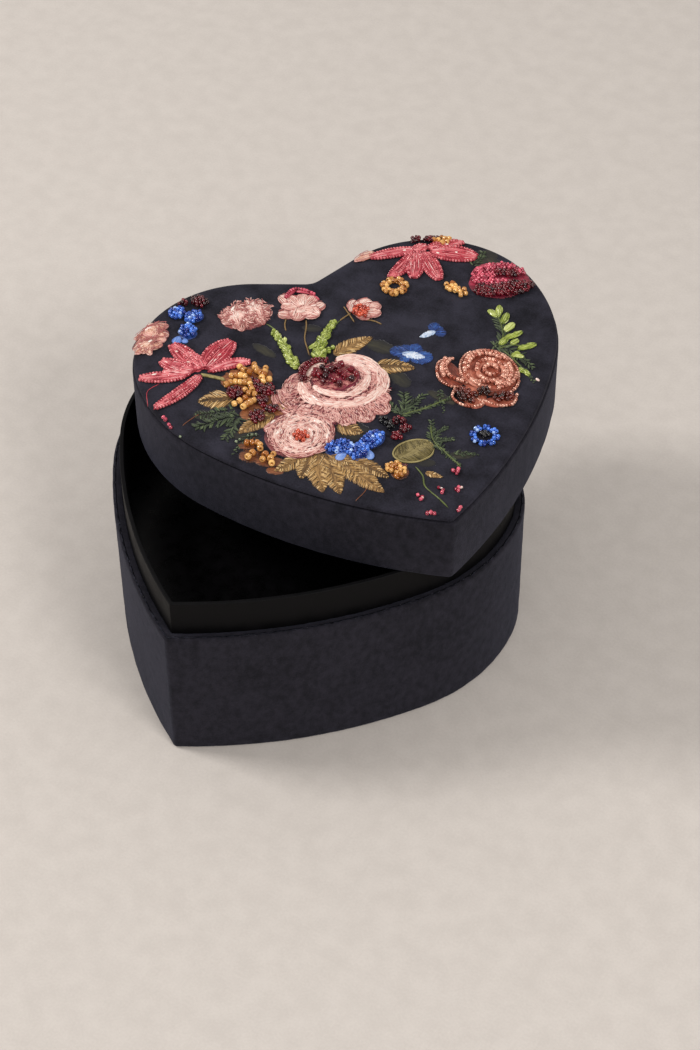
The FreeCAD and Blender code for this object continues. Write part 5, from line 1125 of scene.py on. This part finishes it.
lime_rows = [
    (53.6, 16.2, 52.0, 21.4, 2.6), (53.4, 16, 57.0, 22.4, 2.4), (53.6, 12.4, 57.9, 17.4, 2.5), (52.6, 8.4, 57.8, 11.6, 2.8),
    (50.6, 4.8, 58.8, 6.2, 2.6), (48.0, 2.2, 52.6, 5.4, 2.5), (51.8, 1.4, 55.6, 2.8, 2.2), (52.8, -1.8, 60.6, -1.6, 2.8),
    (49.4, -4.8, 53.2, -3.4, 2.4), (50.2, -4.2, 53.6, -6.4, 2.0), (49.2, -11.0, 50.4, -14.0, 1.9), (50.4, -12.4, 51.4, -16.0, 1.9),
    (-22.4, 34.2, -21.6, 36.2, 1.4, 0, 0.7), (-20.8, 30.4, -19.8, 32.8, 1.4, 0, 0.8), (-14.2, 24, -11, 25.6, 1.6, 0, 0.8),
    (-22.4, 18, -20, 19.4, 1.5, 0, 0.8), (-4.4, 32.2, -2.6, 33.4, 1.3, 0, 0.8), (-7.6, 28.4, -5.4, 29.4, 1.3, 0, 0.8)]
petals("lime_buds", lime_rows[::3] + lime_rows[-6:], lime_glass, thick=0.7, widest=1.0, blunt=0.38, lift=0.15,
       along=12, around=10, seed=45)
petals("satin_buds", lime_rows, bud_green, thick=0.6, widest=1.0, blunt=0.42, lift=0.12, along=12, around=10, seed=50)
sewn("satin_bud_threads", bundles(lime_rows, 4, 2, seed=20, height=0.62, width=0.36), bud_green, seed=51)


fern_green = thread_silk("fern green silk floss", "#18210f", "#37452a", "#6b7850", rough=0.6)
fern_rows = (
    sprig([(-47, 1), (-54, 2), (-63, 1.5)], 44, 6.0, 52, seed=1) + sprig([(-48, 5), (-55, 6), (-61, 7)], 30, 4.5, 60, seed=2)
    + sprig([(-49, 1), (-52, -4), (-56, -7.5)], 24, 4.5, 50, seed=3) + sprig([(-46, -8), (-51, -11), (-55, -15)], 14, 2.6, 45, seed=15)
    + sprig([(3, -18), (6, -14), (8, -8.5)], 28, 5.0, 45, seed=4) + sprig([(3, -18), (9, -14.5), (13.5, -11.5)], 28, 4.4, 42, seed=5)
    + sprig([(3, -18.5), (12, -18), (22, -16.5)], 40, 2.4, 50, seed=6) + sprig([(3, -17), (1.5, -12), (2, -8)], 20, 3.6, 42, seed=7)
    + sprig([(9, -39), (8, -33), (11.5, -25)], 34, 4.0, 50, seed=8) + sprig([(8, -33), (11, -31), (14.8, -29.5)], 24, 2.8, 45, seed=9)
    + sprig([(8, -34), (11, -34.5), (14.8, -35.5)], 22, 2.8, 45, seed=10) + sprig([(9, -38), (10.5, -43), (12, -48)], 24, 2.2, 42, seed=11)
    + sprig([(12, -42), (15, -43), (19, -45)], 18, 2.4, 42, seed=12) + sprig([(46, 3), (51, -2), (54, -12)], 40, 4.6, 48, seed=13)
    + sprig([(46.5, 1), (52, 8), (54, 19)], 50, 5.0, 40, seed=16) + sprig([(49, -8), (51, -13), (51.5, -19)], 18, 2.6, 42, seed=17)
    + sprig([(57, 46), (61, 49), (63.5, 52)], 30, 3.2, 52, seed=14) + sprig([(20, -11), (19, -14), (17, -22)], 14, 2.0, 42, seed=18))
petals("fern_needles", fern_rows, fern_green, thick=0.22, widest=0.9, blunt=0.6, along=6, around=5, seed=29)


stem_green = thread_silk("moss green silk floss", "#2c3415", "#5f6c30", "#98a45a")
strands("green_stems", [
    [(-23.3, 43.5), (-21.6, 39.5), (-21.4, 36), (-21.6, 27), (-21.2, 17)], [(2, 35.6), (-4, 31), (-9, 26), (-13, 20)],
    [(47, 1), (51, 6), (53.4, 14), (53.6, 20)], [(47, 1), (52, 1), (57, -2)], [(48, 0), (50, -8), (51, -17)],
    [(-2, -42.5), (-1.4, -48), (-2.5, -53), (-0.5, -60), (0.8, -65)], [(3, -18.3), (12, -18), (21, -16.6)],
    [(9, -40), (8.4, -33), (10.5, -26)], [(9, -37), (10.5, -43), (12, -48.5)]], 0.28, stem_green)
tan_silk = thread_silk("tan silk floss", "#5b4426", "#8d7044", "#bda26c")
strands("brown_stems", [
    [(-9.2, 40.5), (-10.6, 36.5), (-13.4, 30.5), (-14.4, 25), (-15, 21.5)], [(-15.8, 43), (-17.3, 40), (-18, 37)],
    [(6.6, 37.5), (4.4, 36.6), (1.4, 35.2)], [(5.4, 42), (5.7, 37), (5.9, 32.5)], [(10, 32.2), (12.4, 30.6), (14.4, 27.8)],
    [(-5.8, -37.3), (0, -36.4), (6.6, -35.2)]], 0.26, tan_silk)
strands("lily_stalk", [[(-53.5, 26.2), (-50, 23.8), (-46, 20.5)], [(-53.2, 25.8), (-49.6, 23.2), (-46, 20.0)]], 0.55, olive_light)
strands("oval_leaf_rim", [ring_path(0.4, -36.1, 7.2, 5.1, -10, 352)], 0.32, olive_light)
strands("rust_stems", [[(-67, 4.2), (-63, 6.2), (-58, 8)], [(-26, -50.5), (-22, -48), (-20, -46)],
                       [(-52, -15), (-49, -12), (-46, -10)]], 0.16, rust_silk)
strands("lily_loops", [[(-67.5, 27), (-72.5, 25), (-74.4, 19)], [(-70, 15.4), (-64, 20), (-57, 23.4)]], 0.13, lily_silk)


# ---- Scattered buds
# Single and paired beads at the thread ends round the edge and above the tip.
pink_spots = placed([(-6.4, -56.0), (-5.4, -57.4), (-6.2, -58.2), (1.2, -55.4), (2.0, -57.0), (1.4, -57.8), (6.2, -58.2),
                     (7.4, -57.6), (6.6, -59.0), (8.8, -49.6), (10.0, -50.6), (9.2, -51.4), (10.6, -49.6),
                     (-6.6, -64.6), (-5.4, -64.8), (-4.6, -65.6), (3.2, -67.0), (4.4, -66.0), (3.8, -66.6),
                     (-71.6, 10.3), (-71.3, 8.9), (-70.9, 6.3), (-70.7, 5.1)], 0.05, 41)
beads("pink_buds", pink_spots, 1.25, 1.15, rose_glass, seed=17)
petals("pink_bud_glints", [(7.4, -57.9, 8.8, -57.7, 1.0, 0, 0.4), (-5.8, -57.4, -5.2, -58.2, 0.7, 0, 0.6),
                           (1.6, -55.8, 2.2, -56.6, 0.7, 0, 0.6), (-6.2, -64.8, -5.2, -64.9, 0.7, 0, 0.6),
                           (52.8, -17.6, 53.4, -19.4, 1.1, 0, 0.1)], pearl, thick=0.5, widest=1.0, blunt=0.4,
       along=8, around=8, seed=46)
pale_spots = np.vstack([sown(-69, 0, 1.2, 1.4, 0, 1.5, 0.0, 49), sown(-52.6, -10.6, 1.6, 0.9, 30, 1.5, 0.0, 51),
                        sown(-47, -9.4, 1.9, 0.9, -10, 1.5, 0.0, 52)])
beads("pale_green_buds", pale_spots, 0.9, 0.9, pale_green_glass, seed=18)


# ---- Stage
# A plain pale cloth-covered table, a large soft lamp over the front right and even light all round.
floor_half = 12000.0
floor_grid = np.stack(np.meshgrid(np.linspace(-1, 1, 3) * floor_half, np.linspace(-1, 1, 3) * floor_half,
                                  [0.0], indexing="ij"), -1)[:, :, 0]
floor_cloth = grained("pale cotton cloth", "#ccc5bf", "#d4cdc7", 0.9, relief=0.03, rough=(0.9, 1.0),
                      IOR=1.45, Specular_IOR_Level=0.2)
floor = surface("floor", floor_grid, floor_cloth)

scene = bpy.context.scene
world = bpy.data.worlds.new("even light")
scene.world = world
world.use_nodes = True
air = world.node_tree
background = air.nodes["Background"]
background.inputs["Color"].default_value = linear("#fbf8f5")
background.inputs["Strength"].default_value = 0.55


def lamp(name, place, size, power, colour):
    """A square soft lamp that points at the box."""
    light = bpy.data.lights.new(name, "AREA")
    light.size = size
    light.energy = power
    light.color = linear(colour)[:3]
    holder = bpy.data.objects.new(name, light)
    holder.location = place
    aim = -holder.location
    holder.rotation_euler = aim.to_track_quat("-Z", "Y").to_euler()
    scene.collection.objects.link(holder)


lamp("left_soft", (-0.95, -0.3, 1.05), 0.35, 9.5, "#fffcf8")
lamp("right_soft", (1.0, -0.4, 1.0), 0.4, 7.5, "#fffcf8")

from mathutils import Matrix, Vector
eye = Vector((0.3351, -0.4890, 0.6422))
target = Vector((0.0131, 0.0245, 0.0347))
camera_data = bpy.data.cameras.new("camera")
camera_data.sensor_width = 36.0
camera_data.lens = 82.43
camera_data.clip_start, camera_data.clip_end = 0.01, 20.0
camera = bpy.data.objects.new("camera", camera_data)
facing = (target - eye).to_track_quat("-Z", "Y").to_matrix().to_4x4()
camera.matrix_world = Matrix.Translation(eye) @ facing @ Matrix.Rotation(math.radians(-0.62), 4, "Z")
scene.collection.objects.link(camera)
scene.camera = camera
scene.view_settings.view_transform = "Standard"
